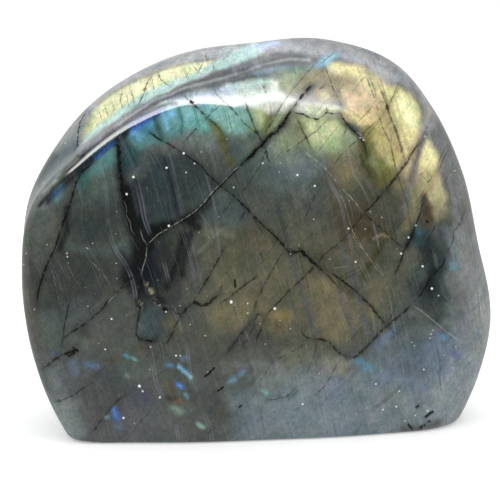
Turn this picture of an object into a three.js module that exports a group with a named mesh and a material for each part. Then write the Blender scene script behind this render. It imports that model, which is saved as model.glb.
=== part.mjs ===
// A labradorite freeform: one stone, ground and polished all round, that stands on a sawn flat base.
// Millimetres, +Z up. X runs along the broad face, the face looks along -Y,
// and the origin is the middle of the base.
import * as THREE from "three";
import { mergeVertices } from "three/addons/utils/BufferGeometryUtils.js";

// The surface is found along rays from the heart.
// They are spread by these half extents, so that the cells are even.
const heart = new THREE.Vector3(0, 0, 44);
const toMiddle = new THREE.Vector3(-1.24, -0.42, 0); // sets the middle of the box on the origin, at the end
const reach = new THREE.Vector3(56, 25, 50);
const cells = { across: 38, deep: 15, up: 33 }; // cells of the surface along X, Y and Z
const crowding = 0.35; // rows lie closer together by this share towards the edge of the base
const farOut = 110; // longer than any ray inside the stone
const halvings = 40; // steps that find where a ray leaves the stone
const tiny = 1e-4;

// The two broad faces are shallow dishes: parts of big spheres, as a grinding wheel leaves them.
const frontDish = { radius: 280, x: -30, y: -24, z: 40 };
const backDish = { radius: 150, x: 0, y: 25, z: 28, round: 20 };

// The rim runs round the stone between the dishes. Its crest lies in the plane y = crest.
const crest = 3;
const crestRound = 12;
const backLean = 0.3; // how far the rim closes in towards the back, per millimetre of depth
const grooveWidth = 4.5; // half width of the trough behind the ridge
const baseRound = 1.6; // broken edge between the sawn base and the polished sides
const waveHeight = 0.12; // slow waves that hand polishing leaves in every face

// Stations round the rim, by angle in degrees from +X towards +Z, seen from the front.
//   radius      from the heart out to the crest
//   round       blend between the front dish and the rim: small is a sharp ridge, large a soft shoulder
//   lean        how far the rim closes in towards the front, per millimetre of depth
//   groove      depth of the shallow trough that runs behind the ridge
//   grooveBack  where that trough lies, in front of the crest
const stations = [
  { angle: -90, radius: 69, round: 12, lean: 0.1, groove: 0, grooveBack: 10 },
  { angle: -64, radius: 72, round: 10, lean: 0.12, groove: 0, grooveBack: 10 },
  { angle: -42, radius: 67.3, round: 11, lean: 0.2, groove: 0, grooveBack: 8 },
  { angle: -21, radius: 63, round: 15, lean: 0.24, groove: 0, grooveBack: 5 },
  { angle: 0, radius: 55.7, round: 17, lean: 0.3, groove: 0, grooveBack: 3 },
  { angle: 20, radius: 55.2, round: 19, lean: 0.5, groove: 0, grooveBack: 2 },
  { angle: 38, radius: 56.8, round: 14, lean: 0.9, groove: 0, grooveBack: 3 },
  { angle: 54, radius: 58.6, round: 9, lean: 1.35, groove: 0.2, grooveBack: 5 },
  { angle: 70, radius: 55.6, round: 7, lean: 1.42, groove: 0.6, grooveBack: 8 },
  { angle: 90, radius: 51.1, round: 6, lean: 0.98, groove: 1.1, grooveBack: 12 },
  { angle: 110, radius: 50.7, round: 6, lean: 0.64, groove: 1.3, grooveBack: 16 },
  { angle: 130, radius: 52.3, round: 5, lean: 0.54, groove: 1.3, grooveBack: 18 },
  { angle: 149, radius: 53.8, round: 4, lean: 0.44, groove: 1, grooveBack: 18 },
  { angle: 166, radius: 55.2, round: 4, lean: 0.22, groove: 0.5, grooveBack: 17 },
  { angle: 184, radius: 54.2, round: 6, lean: 0.08, groove: 0, grooveBack: 15 },
  { angle: 204, radius: 56.3, round: 6, lean: 0.06, groove: 0, grooveBack: 12 },
  { angle: 222, radius: 60.8, round: 6, lean: 0.05, groove: 0, grooveBack: 11 },
  { angle: 244, radius: 68, round: 8, lean: 0.08, groove: 0, grooveBack: 10 },
];

const columns = ["radius", "round", "lean", "groove", "grooveBack"];

// A smooth value of one station column at any angle, by a closed Catmull-Rom curve.
function around(degrees, column) {
  const first = stations[0].angle;
  const turned = THREE.MathUtils.euclideanModulo(degrees - first, 360) + first;
  let i = stations.length - 1;
  while (stations[i].angle > turned) i--;
  const at = (k) => {
    const lap = Math.floor(k / stations.length);
    const station = stations[k - lap * stations.length];
    return { angle: station.angle + 360 * lap, value: station[column] };
  };
  const [a, b, c, d] = [at(i - 1), at(i), at(i + 1), at(i + 2)];
  const span = c.angle - b.angle;
  const t = (turned - b.angle) / span;
  const slopeB = ((c.value - a.value) / (c.angle - a.angle)) * span;
  const slopeC = ((d.value - b.value) / (d.angle - b.angle)) * span;
  return (
    b.value * (1 + 2 * t) * (1 - t) ** 2 +
    slopeB * t * (1 - t) ** 2 +
    c.value * t * t * (3 - 2 * t) +
    slopeC * t * t * (t - 1)
  );
}

// All station columns in the direction of (x, z) from the heart.
function rimToward(x, z) {
  const angle = THREE.MathUtils.radToDeg(Math.atan2(z, x));
  const rim = {};
  for (const column of columns) rim[column] = around(angle, column);
  return rim;
}

// The larger of two depths, rounded where they meet over the width `blend`.
function roundedMax(a, b, blend) {
  const overlap = Math.max(blend - Math.abs(a - b), 0) / blend;
  return Math.max(a, b) + (overlap * overlap * blend) / 4;
}

// Zero below nothing and d above it, with a turn of about `turn` between.
const softRamp = (d, turn) => (d + Math.sqrt(d * d + turn * turn)) / 2;

// Depth outside a shallow dish whose middle is at (x, y, z) and which faces along `side` on Y.
function outsideDish(p, dish, side) {
  const centreY = dish.y - side * dish.radius;
  return Math.hypot(p.x - dish.x, p.y - centreY, p.z - dish.z) - dish.radius;
}

// Depth of a point outside the rim.
function outsideRim(p, rim) {
  const inside = rim.radius - Math.hypot(p.x - heart.x, p.z - heart.z);
  const forward = crest - p.y;
  const closing = rim.lean * softRamp(forward, crestRound) + backLean * softRamp(-forward, crestRound);
  const atCrest = ((rim.lean + backLean) * crestRound) / 2;
  const trough = Math.exp(-(((forward - rim.grooveBack) / grooveWidth) ** 2));
  return closing - atCrest + rim.groove * trough - inside;
}

// Slow waves, about 35 mm from crest to crest.
function handWaves(p) {
  return waveHeight * (Math.sin(0.2 * p.x + 0.08 * p.z + 1) + Math.sin(0.16 * p.z - 0.1 * p.x + 0.2 * p.y));
}

// Below zero inside the polished form, above zero outside it. The base isn't cut yet.
function outsideForm(p, rim) {
  const faced = roundedMax(outsideDish(p, frontDish, -1), outsideRim(p, rim), rim.round);
  return roundedMax(faced, outsideDish(p, backDish, 1), backDish.round) + handWaves(p);
}

// Where a ray leaves the solid that `outside` describes.
function leaves(from, direction, outside) {
  let near = 0;
  let far = farOut;
  const p = new THREE.Vector3();
  for (let step = 0; step < halvings; step++) {
    const middle = (near + far) / 2;
    p.copy(from).addScaledVector(direction, middle);
    if (outside(p) < 0) near = middle;
    else far = middle;
  }
  return p;
}

const wholeStone = (rim) => (p) => roundedMax(outsideForm(p, rim), -p.z, baseRound);
const unroundedBase = (p) => outsideForm(p, rimToward(p.x - heart.x, p.z - heart.z));

// Six patches of a cube, bent to the stone.
// The edges of the bottom patch lie along the edge of the sawn base.
function stoneGeometry() {
  const cube = mergeVertices(
    new THREE.BoxGeometry(2, 2, 2, cells.across, cells.deep, cells.up)
      .deleteAttribute("normal")
      .deleteAttribute("uv"),
    tiny,
  );
  const places = cube.getAttribute("position");
  const evened = (v) => Math.tan((v * Math.PI) / 4);
  const crowded = (v) => v * (1 + crowding - crowding * v * v);
  const footprint = new THREE.Vector3(0, 0, 0);
  for (let i = 0; i < places.count; i++) {
    const c = new THREE.Vector3().fromBufferAttribute(places, i);
    const ring = Math.max(Math.abs(c.x), Math.abs(c.y));
    const direction = new THREE.Vector3(evened(c.x) * reach.x, evened(c.y) * reach.y, evened(c.z) * reach.z);
    if (c.z < 0 && ring > 0) {
      const heading = new THREE.Vector3(evened(c.x / ring) * reach.x, evened(c.y / ring) * reach.y, 0);
      heading.normalize();
      const edge = leaves(footprint, heading, unroundedBase).length();
      if (c.z > -1) direction.copy(heading).setZ((crowded(c.z) * heart.z) / edge);
      else direction.copy(heading).multiplyScalar(crowded(ring) * edge).setZ(-heart.z);
    }
    direction.normalize();
    const p = leaves(heart, direction, wholeStone(rimToward(direction.x, direction.z)));
    places.setXYZ(i, p.x + toMiddle.x, p.y + toMiddle.y, Math.abs(p.z) < tiny ? 0 : p.z);
  }
  cube.computeVertexNormals();
  return cube;
}

const stone = new THREE.Mesh(
  stoneGeometry(),
  new THREE.MeshStandardMaterial({ color: 0x535c58, roughness: 0.12, metalness: 0 }),
);
stone.name = "labradorite_stone";

const freeform = new THREE.Group();
freeform.add(stone);

export default freeform;
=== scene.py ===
# Labradorite freeform: the polished stone around its CAD solid, on a plain pale table in soft light.
import bpy
import math
import numpy as np
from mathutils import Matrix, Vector


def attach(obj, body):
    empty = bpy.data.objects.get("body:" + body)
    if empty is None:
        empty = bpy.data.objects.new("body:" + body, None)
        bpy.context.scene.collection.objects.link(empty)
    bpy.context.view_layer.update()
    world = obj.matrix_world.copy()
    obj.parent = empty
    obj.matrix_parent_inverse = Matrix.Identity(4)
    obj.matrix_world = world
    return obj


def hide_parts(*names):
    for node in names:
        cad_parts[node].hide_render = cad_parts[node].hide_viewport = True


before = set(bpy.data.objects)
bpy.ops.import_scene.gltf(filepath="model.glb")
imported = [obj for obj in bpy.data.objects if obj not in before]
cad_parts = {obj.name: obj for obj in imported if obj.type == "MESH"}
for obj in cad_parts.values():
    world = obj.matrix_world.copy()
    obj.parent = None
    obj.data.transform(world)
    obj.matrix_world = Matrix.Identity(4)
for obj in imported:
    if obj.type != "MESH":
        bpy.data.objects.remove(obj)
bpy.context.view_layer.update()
mm = 0.001
print("frame: loaded", sorted(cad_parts))

# The lines of sight that the marks on the front and the back are laid out along, in mm and degrees.
# Marks are given as mm to the right of the middle and mm up, in the upright plane square to the sight.
sight = {"elevation": 12, "target": (-1.24, -0.42, 46.5), "distance": 420}
backSight = {"elevation": 8, "target": (0, 0, 46.5), "distance": 600, "behind": True}

# The polished form in mm, the same numbers as the solid has.
stoneForm = {
    "name": "polished_stone",
    "heart": (0, 0, 44),
    "toMiddle": (-1.24, -0.42, 0),
    "frontDish": {"radius": 280, "at": (-30, -24, 40)},
    "backDish": {"radius": 150, "at": (0, 25, 28), "round": 20},
    "crest": 3, "crestRound": 12, "backLean": 0.3, "baseRound": 1.6,
    "grooveWidth": 4.5,
    "waveHeight": 0.12,
    "waves": [(0.2, 0, 0.08, 1), (-0.1, 0.2, 0.16, 0)],  # swells along x, y and z, and their start
    # angle round the rim, radius, round, lean, groove, grooveBack
    "rim": [
        (-90, 69, 12, 0.1, 0, 10), (-64, 72, 10, 0.12, 0, 10), (-42, 67.3, 11, 0.2, 0, 8),
        (-21, 63, 15, 0.24, 0, 5), (0, 55.7, 17, 0.3, 0, 3), (20, 55.2, 19, 0.5, 0, 2),
        (38, 56.8, 14, 0.9, 0, 3), (54, 58.6, 9, 1.35, 0.2, 5), (70, 55.6, 7, 1.42, 0.6, 8),
        (90, 51.1, 6, 0.98, 1.1, 12), (110, 50.7, 6, 0.64, 1.3, 16), (130, 52.3, 5, 0.54, 1.3, 18),
        (149, 53.8, 4, 0.44, 1, 18), (166, 55.2, 4, 0.22, 0.5, 17), (184, 54.2, 6, 0.08, 0, 15),
        (204, 56.3, 6, 0.06, 0, 12), (222, 60.8, 6, 0.05, 0, 11), (244, 68, 8, 0.08, 0, 10),
    ],
    "longestRay": 110.0, "halvings": 34,  # how far and how finely the surface is looked for
    "flatWithin": 0.001,  # points this near the table stand on it
    "shrink": 0.999,  # keeps the finer surface inside the box of the solid
}


def alongRim(degrees, column):
    # closed Catmull-Rom curve through one column of the rim
    rows = np.array(stoneForm["rim"], float)
    count = len(rows)
    turned = np.mod(degrees - rows[0, 0], 360) + rows[0, 0]
    i = np.searchsorted(rows[:, 0], turned, side="right") - 1

    def station(k):
        lap = np.floor_divide(k, count)
        return rows[k - lap * count, 0] + 360 * lap, rows[k - lap * count, column]

    a, b, c, d = station(i - 1), station(i), station(i + 1), station(i + 2)
    span = c[0] - b[0]
    t = (turned - b[0]) / span
    slopeB = (c[1] - a[1]) / (c[0] - a[0]) * span
    slopeC = (d[1] - b[1]) / (d[0] - b[0]) * span
    return (b[1] * (1 + 2 * t) * (1 - t) ** 2 + slopeB * t * (1 - t) ** 2
            + c[1] * t * t * (3 - 2 * t) + slopeC * t * t * (t - 1))


def roundedMax(a, b, blend):
    overlap = np.maximum(blend - abs(a - b), 0) / blend
    return np.maximum(a, b) + overlap * overlap * blend / 4


def softRamp(d, turn):
    return (d + np.sqrt(d * d + turn * turn)) / 2


def outsideDish(p, dish, side):
    x, y, z = dish["at"]
    away = np.sqrt((p[:, 0] - x) ** 2 + (p[:, 1] - y + side * dish["radius"]) ** 2 + (p[:, 2] - z) ** 2)
    return away - dish["radius"]


def outsideStone(p, rim):
    # depth outside the stone in mm, below zero inside it
    form = stoneForm
    radius, blend, lean, groove, grooveBack = rim
    inside = radius - np.hypot(p[:, 0] - form["heart"][0], p[:, 2] - form["heart"][2])
    forward = form["crest"] - p[:, 1]
    closing = (lean * softRamp(forward, form["crestRound"])
               + form["backLean"] * softRamp(-forward, form["crestRound"]))
    atCrest = (lean + form["backLean"]) * form["crestRound"] / 2
    trough = np.exp(-((forward - grooveBack) / form["grooveWidth"]) ** 2)
    rimDepth = closing - atCrest + groove * trough - inside
    faced = roundedMax(outsideDish(p, form["frontDish"], -1), rimDepth, blend)
    whole = roundedMax(faced, outsideDish(p, form["backDish"], 1), form["backDish"]["round"])
    for swellX, swellY, swellZ, start in form["waves"]:
        whole = whole + form["waveHeight"] * np.sin(
            swellX * p[:, 0] + swellY * p[:, 1] + swellZ * p[:, 2] + start)
    return roundedMax(whole, -p[:, 2], form["baseRound"])


def ontoStone(points):
    # moves each point along its ray from the heart to the polished surface
    form = stoneForm
    heart = np.array(form["heart"], float)
    middle = np.array(form["toMiddle"], float)
    ray = points - middle - heart
    ray /= np.linalg.norm(ray, axis=1)[:, None]
    angle = np.degrees(np.arctan2(ray[:, 2], ray[:, 0]))
    rim = [alongRim(angle, column) for column in range(1, 6)]
    near, far = np.zeros(len(points)), np.full(len(points), form["longestRay"])
    for _ in range(form["halvings"]):
        between = (near + far) / 2
        within = outsideStone(heart + ray * between[:, None], rim) < 0
        near = np.where(within, between, near)
        far = np.where(within, far, between)
    p = heart + ray * far[:, None] + middle
    p[abs(p[:, 2]) < form["flatWithin"], 2] = 0
    return p * form["shrink"]


def seenAlong(points, view):
    # mm right and up in the plane square to the sight, and the direction towards the eye
    tilt = math.radians(view["elevation"])
    turn = -1 if view.get("behind") else 1
    forward = np.array([0, turn * math.cos(tilt), -math.sin(tilt)])
    up = np.array([0, turn * math.sin(tilt), math.cos(tilt)])
    right = np.array([turn, 0, 0])
    toPoint = points - np.array(view["target"]) + forward * view["distance"]
    scale = view["distance"] / (toPoint @ forward)
    toEye = -toPoint / np.linalg.norm(toPoint, axis=1)[:, None]
    return (toPoint @ right) * scale, (toPoint @ up) * scale + view["target"][2], toEye


# Tints of the stone and of its flashes. The flashes are painted in as fixed colour, as they show from the
# front, though the real stone shows them only at some angles.
tints = {
    # the pit tint is painted shade inside the open pits
    "body": "#4a4f4a", "nearBlack": "#161919", "shadeInPits": "#0a0b0b", "darkGreen": "#383d3a",
    "darkSlate": "#323c3d", "ink": "#1c2229", "greenGrey": "#505e57", "mossGrey": "#6f7a78",
    "tealGrey": "#4a5a57", "slate": "#6b7a80", "blueSlate": "#5f7488", "paleSlate": "#828b8f",
    # the rim, top and lilac greys are the stone's colour with painted reflection of the pale room at a
    # grazing angle
    "rimPaleReflection": "#989b9b", "rimGreyReflection": "#7a7f7e", "rimDarkReflection": "#686b68", "valleyGrey": "#7d8083",
    "valleyDark": "#696b6f", "purpleGrey": "#55575c", "lilacGreyReflection": "#adb0b6", "topGreyReflection": "#bcbfc3",
    "greyBrown": "#50534b", "darkBrown": "#424240", "umber": "#4a493c", "brown": "#464130",
    "pinkBrown": "#5e635f", "warmGrey": "#51544b", "dullGold": "#605f4c", "gold": "#706b50",
    "ochre": "#85754a", "olive": "#5c5c32", "lightOlive": "#7c7a48", "darkOlive": "#43432a",
    "khaki": "#7d7858", "veilTan": "#958a62", "veilBrown": "#786a4a", "tanOlive": "#b8b078",
    "paintedGlareIvory": "#dfe2d2", "tan": "#c4b588", "cream": "#8c8e7c", "orangeBrown": "#7a5630", "rust": "#504530",
    "darkTeal": "#2c4648", "teal": "#588886", "greenBlue": "#76b0ae", "seaGreen": "#88b09c",
    "brightTeal": "#8fc4bc", "cyanBlue": "#4f98bc", "blue": "#3568d4", "deepBlue": "#2a4a90",
    "skyBlue": "#80bfe0", "flashYellow": "#f6f8cc", "flashCyan": "#cfeee6", "flashSky": "#cfe2f8",
    "leafGreen": "#92a37c", "paleGreen": "#b6c292", "limeYellow": "#d6dca6", "yellow": "#e6dfa2",
    "paleYellow": "#fcfac4", "peach": "#e0ca9e", "peachGold": "#b8b088", "indigo": "#474e86",
    # the white and blue glare tints, and ivory above, are painted reflection of the softbox
    "paintedGlareWhite": "#e2ebdf", "paintedGlareBlue": "#c2d4e4", "glint": "#c9c4b4",
}

# Soft areas of the front, the lowest first: tint, strength, soft edge in mm, outline in mm.
frontPatches = [
    ("greyBrown", 0.9, 4, [(-60, 46), (-47, 50), (-46, 44), (-50, 30), (-46, 10), (-60, 10)]),
    ("darkBrown", 0.6, 2, [(-56, 44), (-52.5, 42), (-50, 32), (-50, 24), (-54, 26)]),
    ("tealGrey", 0.7, 4, [(-50, 58), (-42, 63), (-33, 66), (-32, 56), (-46, 50)]),
    ("mossGrey", 0.35, 2.5, [(-54, 52), (-50, 56), (-47, 52), (-50, 40), (-54, 42)]),
    ("umber", 0.5, 3, [(-47, 56), (-44.5, 57), (-45, 51), (-48, 44), (-49, 50)]),
    ("darkGreen", 0.8, 3, [(-50, 42), (-46, 44), (-40, 40), (-34, 38), (-31, 36), (-40, 25), (-46, 24),
     (-51, 28)]),
    ("greenGrey", 0.6, 1.5, [(-52, 27.5), (-47, 27), (-46, 20), (-48, 17.5), (-51, 20)]),
    ("slate", 0.3, 3, [(-45, 28), (-40, 29), (-38, 24), (-42, 22), (-46, 22)]),
    ("greyBrown", 0.4, 3, [(-40, 26), (-34, 30), (-29, 30), (-28, 20), (-36, 18), (-42, 20)]),
    ("purpleGrey", 0.6, 4, [(-53, 16), (-44, 17), (-40, 12), (-20, 5), (-18, -5), (-45, -6), (-50, 4)]),
    ("slate", 0.4, 2.5, [(-51, 13), (-46, 14), (-44, 9), (-48, 6), (-50, 8)]),
    ("mossGrey", 0.9, 2.5, [(-50, 5.5), (-43, 6.5), (-40, 2), (-41, -4), (-48, -4)]),
    ("darkBrown", 0.7, 3, [(-42, 9), (-36, 10), (-30, 6), (-36, 0), (-42, 1)]),
    ("darkSlate", 0.5, 3, [(-38, 14), (-32, 14), (-28, 10), (-26, 6), (-34, 6), (-38, 9)]),
    ("slate", 0.85, 5, [(-6, 6), (6, 12), (16, 14), (24, 15), (30, 20), (38, 29), (48, 34), (60, 40),
     (60, -10), (-6, -10)]),
    ("blueSlate", 0.4, 4, [(6, 10), (22, 9), (24, -3), (8, -4)]),
    ("darkSlate", 0.95, 2.5, [(-32, 62), (-24, 65), (-16, 66), (-8, 58), (-12, 53), (-20, 48), (-26, 45),
     (-31, 50)]),
    ("darkGreen", 0.5, 2, [(-18, 61), (-10, 60), (-10, 55), (-15, 51.5), (-20, 51)]),
    ("darkGreen", 0.75, 3, [(-45, 56), (-33, 58), (-32, 50), (-32, 45), (-42, 44), (-46, 48)]),
    ("tealGrey", 0.5, 2.5, [(-44, 58), (-34, 60), (-33, 56), (-38, 52), (-44, 52)]),
    ("darkSlate", 0.5, 2, [(-44, 50), (-38, 50), (-36, 45), (-42, 44)]),
    ("tealGrey", 0.7, 1.2, [(-47, 44.3), (-40, 41.5), (-33, 43.5), (-29.5, 44), (-30, 41.5), (-36, 40),
     (-46, 42)]),
    ("nearBlack", 0.95, 1.2, [(-33, 61), (-31.8, 60), (-29, 52), (-25, 48), (-19, 48.8), (-24, 44),
     (-25, 37), (-26.5, 31), (-28.3, 32), (-29.5, 36), (-29.6, 44), (-31.5, 52)]),
    ("nearBlack", 0.6, 1.5, [(-29, 42), (-26, 43), (-21.5, 46), (-17, 47), (-20, 41), (-22, 34), (-25, 29),
     (-28, 30), (-32, 34)]),
    ("ink", 0.7, 1.5, [(-25, 42), (-21.5, 44), (-20.5, 38), (-23, 31), (-27, 30), (-28, 35)]),
    ("darkGreen", 0.7, 1, [(-24, 43.5), (-19.5, 46), (-20, 40), (-22, 35.5), (-23.5, 38)]),
    ("darkTeal", 0.55, 1.2, [(-28, 28.5), (-24, 29), (-22, 26), (-23, 20), (-28, 19.5), (-27.8, 24)]),
    ("tealGrey", 0.6, 2, [(-15, 57), (-8, 56), (-2, 52), (-2, 47), (-10, 45), (-14, 50)]),
    ("nearBlack", 0.7, 1.4, [(-14.5, 51.5), (-10.5, 53.5), (-13.3, 47.4), (-17, 47.8)]),
    ("greyBrown", 0.8, 3, [(-18, 45), (-6, 47), (-3, 44), (-8, 34), (-20, 30), (-22, 34)]),
    ("dullGold", 0.4, 2.5, [(-13, 47), (-6, 48), (-4, 44), (-9, 40), (-14, 41)]),
    ("umber", 0.9, 3, [(-10, 44), (-4, 47), (4, 47), (6, 42), (0, 37), (-8, 35)]),
    ("warmGrey", 0.6, 3, [(0, 52), (6, 58), (16, 56), (20, 50), (14, 46), (4, 46)]),
    ("dullGold", 0.75, 4, [(-10, 42), (6, 46), (20, 48), (34, 46), (38, 38), (33, 28), (24, 20), (6, 18),
     (-8, 20), (-14, 30)]),
    ("dullGold", 0.9, 3.5, [(-8, 36), (4, 38), (14, 39), (20, 34), (24, 26), (16, 20), (4, 22), (-4, 26),
     (-12, 24), (-12, 30)]),
    ("gold", 0.7, 2, [(-11, 29), (-2, 30), (2, 27), (-3, 24), (-10, 23)]),
    ("gold", 0.7, 2, [(13, 34), (19, 35), (23, 30), (24, 24), (20, 21), (15, 22)]),
    ("umber", 0.7, 2, [(12, 41), (16, 42), (22, 38), (20, 35), (15, 36)]),
    ("umber", 0.5, 2, [(-24, 27), (-18, 26), (-17, 20), (-22, 18), (-24, 22)]),
    ("greyBrown", 0.6, 2.5, [(-18, 27), (-12, 28), (-8, 20), (-12, 14), (-20, 15)]),
    ("warmGrey", 0.7, 3, [(0, 22), (12, 22), (16, 18), (22, 16), (22, 12), (10, 9), (0, 12)]),
    ("cream", 0.6, 1.6, [(16, 17), (20, 18), (22.5, 15), (22, 11.5), (18.5, 11), (16, 13)]),
    ("slate", 0.5, 3, [(10, 13), (16, 14), (16, 10), (10, 9)]),
    ("warmGrey", 0.8, 3, [(18, 40), (24, 46), (34, 46), (37, 42), (33, 34), (27, 30), (20, 35)]),
    ("dullGold", 0.7, 2, [(20, 43), (24, 45), (26, 42), (24, 38), (20, 39)]),
    ("gold", 0.6, 1.5, [(26, 34), (30, 36), (33, 34), (34, 30), (31, 27.5), (28, 29)]),
    ("warmGrey", 0.75, 2, [(33, 35), (37, 42), (39.5, 44), (40, 34), (37, 29.5), (32, 25), (30, 28)]),
    ("darkSlate", 0.6, 2, [(36.5, 34), (40, 38), (40, 32), (37, 30)]),
    ("darkSlate", 0.95, 1.6, [(39, 47), (43, 46), (46, 42), (46, 37), (47, 31), (44, 25), (38.5, 28),
     (40.5, 36)]),
    ("nearBlack", 0.3, 1.2, [(39, 46), (43, 45), (44, 40), (44, 33), (44, 28), (42.5, 26), (40.5, 31),
     (41, 38)]),
    ("nearBlack", 0.4, 1.2, [(40, 42), (43, 40), (44, 36), (42.5, 31), (40, 33)]),
    ("greyBrown", 0.6, 2.5, [(36, 28), (44, 30), (47.5, 28), (46, 21), (38, 19), (34, 22)]),
    # painted reflection over the stone's colour: the pale grey of the right rim
    ("rimGreyReflection", 0.9, 2.5, [(47, 44), (50, 52), (60, 60), (60, 14), (50, 14), (48, 20), (49, 30),
     (47.5, 36)]),
    ("darkSlate", 0.7, 1.6, [(41, 27), (46, 27), (46.5, 21), (42, 20.5)]),
    ("mossGrey", 0.8, 2.5, [(-2, 13), (6, 13.8), (8, 10.5), (0, 9)]),
    # painted reflection over the stone's colour: rim greys at the left and right edges
    ("rimGreyReflection", 0.8, 1, [(-55, 50), (-52.5, 55), (-49.5, 56.8), (-50.5, 52)]),
    ("rimDarkReflection", 0.6, 1.5, [(47, 35), (50, 34), (50, 26), (47, 27)]),
    ("paleSlate", 0.85, 3, [(42, 10), (50, 18), (60, 20), (56, -5), (42, -5)]),
    ("darkSlate", 0.5, 3, [(33, 21), (42, 21), (43, 16), (38, 13), (32, 15)]),
    ("greyBrown", 0.2, 3, [(28, 22), (36, 28), (42, 26), (40, 18), (32, 16)]),
    ("blueSlate", 0.5, 3, [(26, 14), (36, 20), (48, 22), (50, 14), (40, 8), (28, 8)]),
    ("blueSlate", 0.6, 1, [(46.3, 39.5), (49, 40), (49.5, 37.5), (47, 36.8)]),
    ("greenBlue", 0.4, 0.8, [(46.6, 39), (48.6, 39.4), (49, 37.8), (47.2, 37.3)]),
    ("paleSlate", 0.6, 2.5, [(26, 10), (36, 10), (36, 4), (26, 4)]),
    ("warmGrey", 0.9, 3, [(10, 60), (18, 62), (26, 60), (31, 56), (26, 50), (16, 48), (6, 52)]),
    ("darkGreen", 0.35, 2, [(13, 57), (17, 57), (16, 51), (12, 51)]),
    ("tealGrey", 0.8, 3, [(-4, 61), (2, 67), (8, 66), (16, 61), (14, 57), (4, 56)]),
    ("slate", 0.5, 2, [(3, 65), (9, 67), (16, 62), (12, 58), (5, 60)]),
    ("brown", 0.9, 2.5, [(18, 52), (26, 52), (34, 45), (30, 42), (20, 45)]),
    ("khaki", 0.35, 1.2, [(22.5, 46.5), (26, 45), (26, 42), (22, 43)]),
    ("greyBrown", 0.9, 2.5, [(30, 56), (36, 61), (38, 56), (38, 47), (36, 43), (30, 49), (26, 51)]),
    ("darkOlive", 0.6, 1.6, [(25, 55), (30, 55.5), (28, 51.5), (25.5, 51.5)]),
    ("khaki", 0.8, 1.5, [(31.5, 60), (36, 61.5), (37, 56), (34, 54)]),
    ("khaki", 0.6, 1.2, [(34.5, 52), (38, 51), (38.5, 47), (35, 45.5)]),
    ("khaki", 0.7, 2, [(20, 60.5), (25, 62), (27, 58), (22, 56)]),
    ("pinkBrown", 0.9, 1.6, [(-30, 60), (-25, 65.5), (-20, 69), (-12, 71), (-7, 66), (-9, 62), (-14, 65),
     (-20, 66), (-25, 63.5), (-30, 58)]),
    ("mossGrey", 0.5, 1.6, [(-20, 68.5), (-13, 71), (-11, 69), (-18, 67)]),
    ("teal", 0.9, 1.5, [(-31, 63), (-30, 71), (-26, 75), (-20, 77), (-8, 79), (-3, 78), (-6, 70), (-13, 70),
     (-20, 68.5), (-26, 65.5)]),
    ("darkTeal", 0.9, 1.2, [(-33, 68.5), (-30, 71.5), (-29.5, 67), (-27.5, 65), (-28.5, 62), (-31.5, 60),
     (-32.5, 62)]),
    ("greenBlue", 0.9, 2, [(-21, 76), (-9, 78), (-5, 74), (-10, 71), (-20, 70.5)]),
    ("seaGreen", 0.9, 2, [(-9, 78), (2, 78), (3, 73), (-3, 70), (-8, 71), (-10, 74)]),
    ("leafGreen", 0.75, 2, [(0, 78), (9, 77), (7, 71), (2, 70), (-1, 71)]),
    ("greenGrey", 0.8, 2, [(-7, 69.5), (-3, 70.5), (1, 70), (1, 67), (-2, 64), (-5, 63)]),
    ("seaGreen", 0.5, 1.6, [(-5.5, 70), (-3.5, 72), (-1, 71), (-2, 69)]),
    ("paleGreen", 0.7, 1.5, [(-1, 77.5), (5, 77.5), (3, 75), (1, 71.5), (0, 74)]),
    ("leafGreen", 0.7, 1.5, [(4, 68.5), (7, 70.5), (11, 70), (10, 66), (6, 65)]),
    ("olive", 0.6, 1.2, [(2.5, 74.5), (4.6, 75.4), (5.5, 72), (2.6, 69.6), (1.6, 71)]),
    ("olive", 0.75, 0.8, [(-12, 73.8), (-9, 72.5), (-7, 69), (-6.5, 66), (-4.8, 62.2), (-6.3, 62.3),
     (-8, 65), (-10.5, 68.5)]),
    ("tealGrey", 0.7, 1.5, [(-6, 66), (0, 67), (-1, 63.5), (-4, 61.5)]),
    ("mossGrey", 0.8, 1.5, [(-16, 69.5), (-10, 70), (-8.5, 66.5), (-12, 65.5)]),
    ("seaGreen", 0.8, 1.2, [(-7, 72.5), (-3, 72.5), (-2, 70), (-4, 68.8), (-6.5, 69.5)]),
    ("greenBlue", 0.75, 1, [(-22, 76.8), (-12, 78), (-2, 78), (-3, 75.6), (-12, 75), (-20, 74.6)]),
    ("cyanBlue", 0.6, 1.2, [(-30, 71.5), (-27, 74), (-24.5, 73), (-26, 68.5), (-29, 67.5)]),
    ("skyBlue", 0.7, 1, [(-23, 75.8), (-19, 76.8), (-19, 74), (-22, 71.5)]),
    ("seaGreen", 0.3, 1.5, [(-29.5, 69), (-26.5, 68), (-27, 65.5), (-29, 66)]),
    ("teal", 0.9, 1.3, [(-43, 60), (-38, 65.5), (-33.3, 68.3), (-32.9, 63), (-35, 61), (-40, 58.5),
     (-43.5, 57)]),
    ("darkTeal", 0.5, 1.5, [(-43.5, 61), (-41, 62), (-39, 58), (-42.5, 57)]),
    ("greenGrey", 0.7, 2, [(-40, 60), (-33.5, 61.5), (-33.5, 56), (-40, 55)]),
    ("leafGreen", 0.85, 2, [(8, 73.5), (15, 74), (21, 73.5), (25, 67), (21, 64), (15, 64), (9, 68)]),
    ("paleGreen", 0.9, 1.5, [(9.5, 73.5), (13, 74.5), (20, 73.5), (22, 70), (19, 66), (15, 66), (12.5, 69)]),
    ("limeYellow", 0.8, 1.5, [(12.5, 73), (19, 73.5), (19, 70), (15.5, 67.5), (13, 68.5)]),
    ("mossGrey", 0.6, 2, [(11, 67), (15, 66), (18, 62), (14, 60), (11, 62)]),
    ("khaki", 0.7, 2, [(19, 64), (24, 67), (25.5, 63), (23, 58), (19, 60)]),
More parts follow.
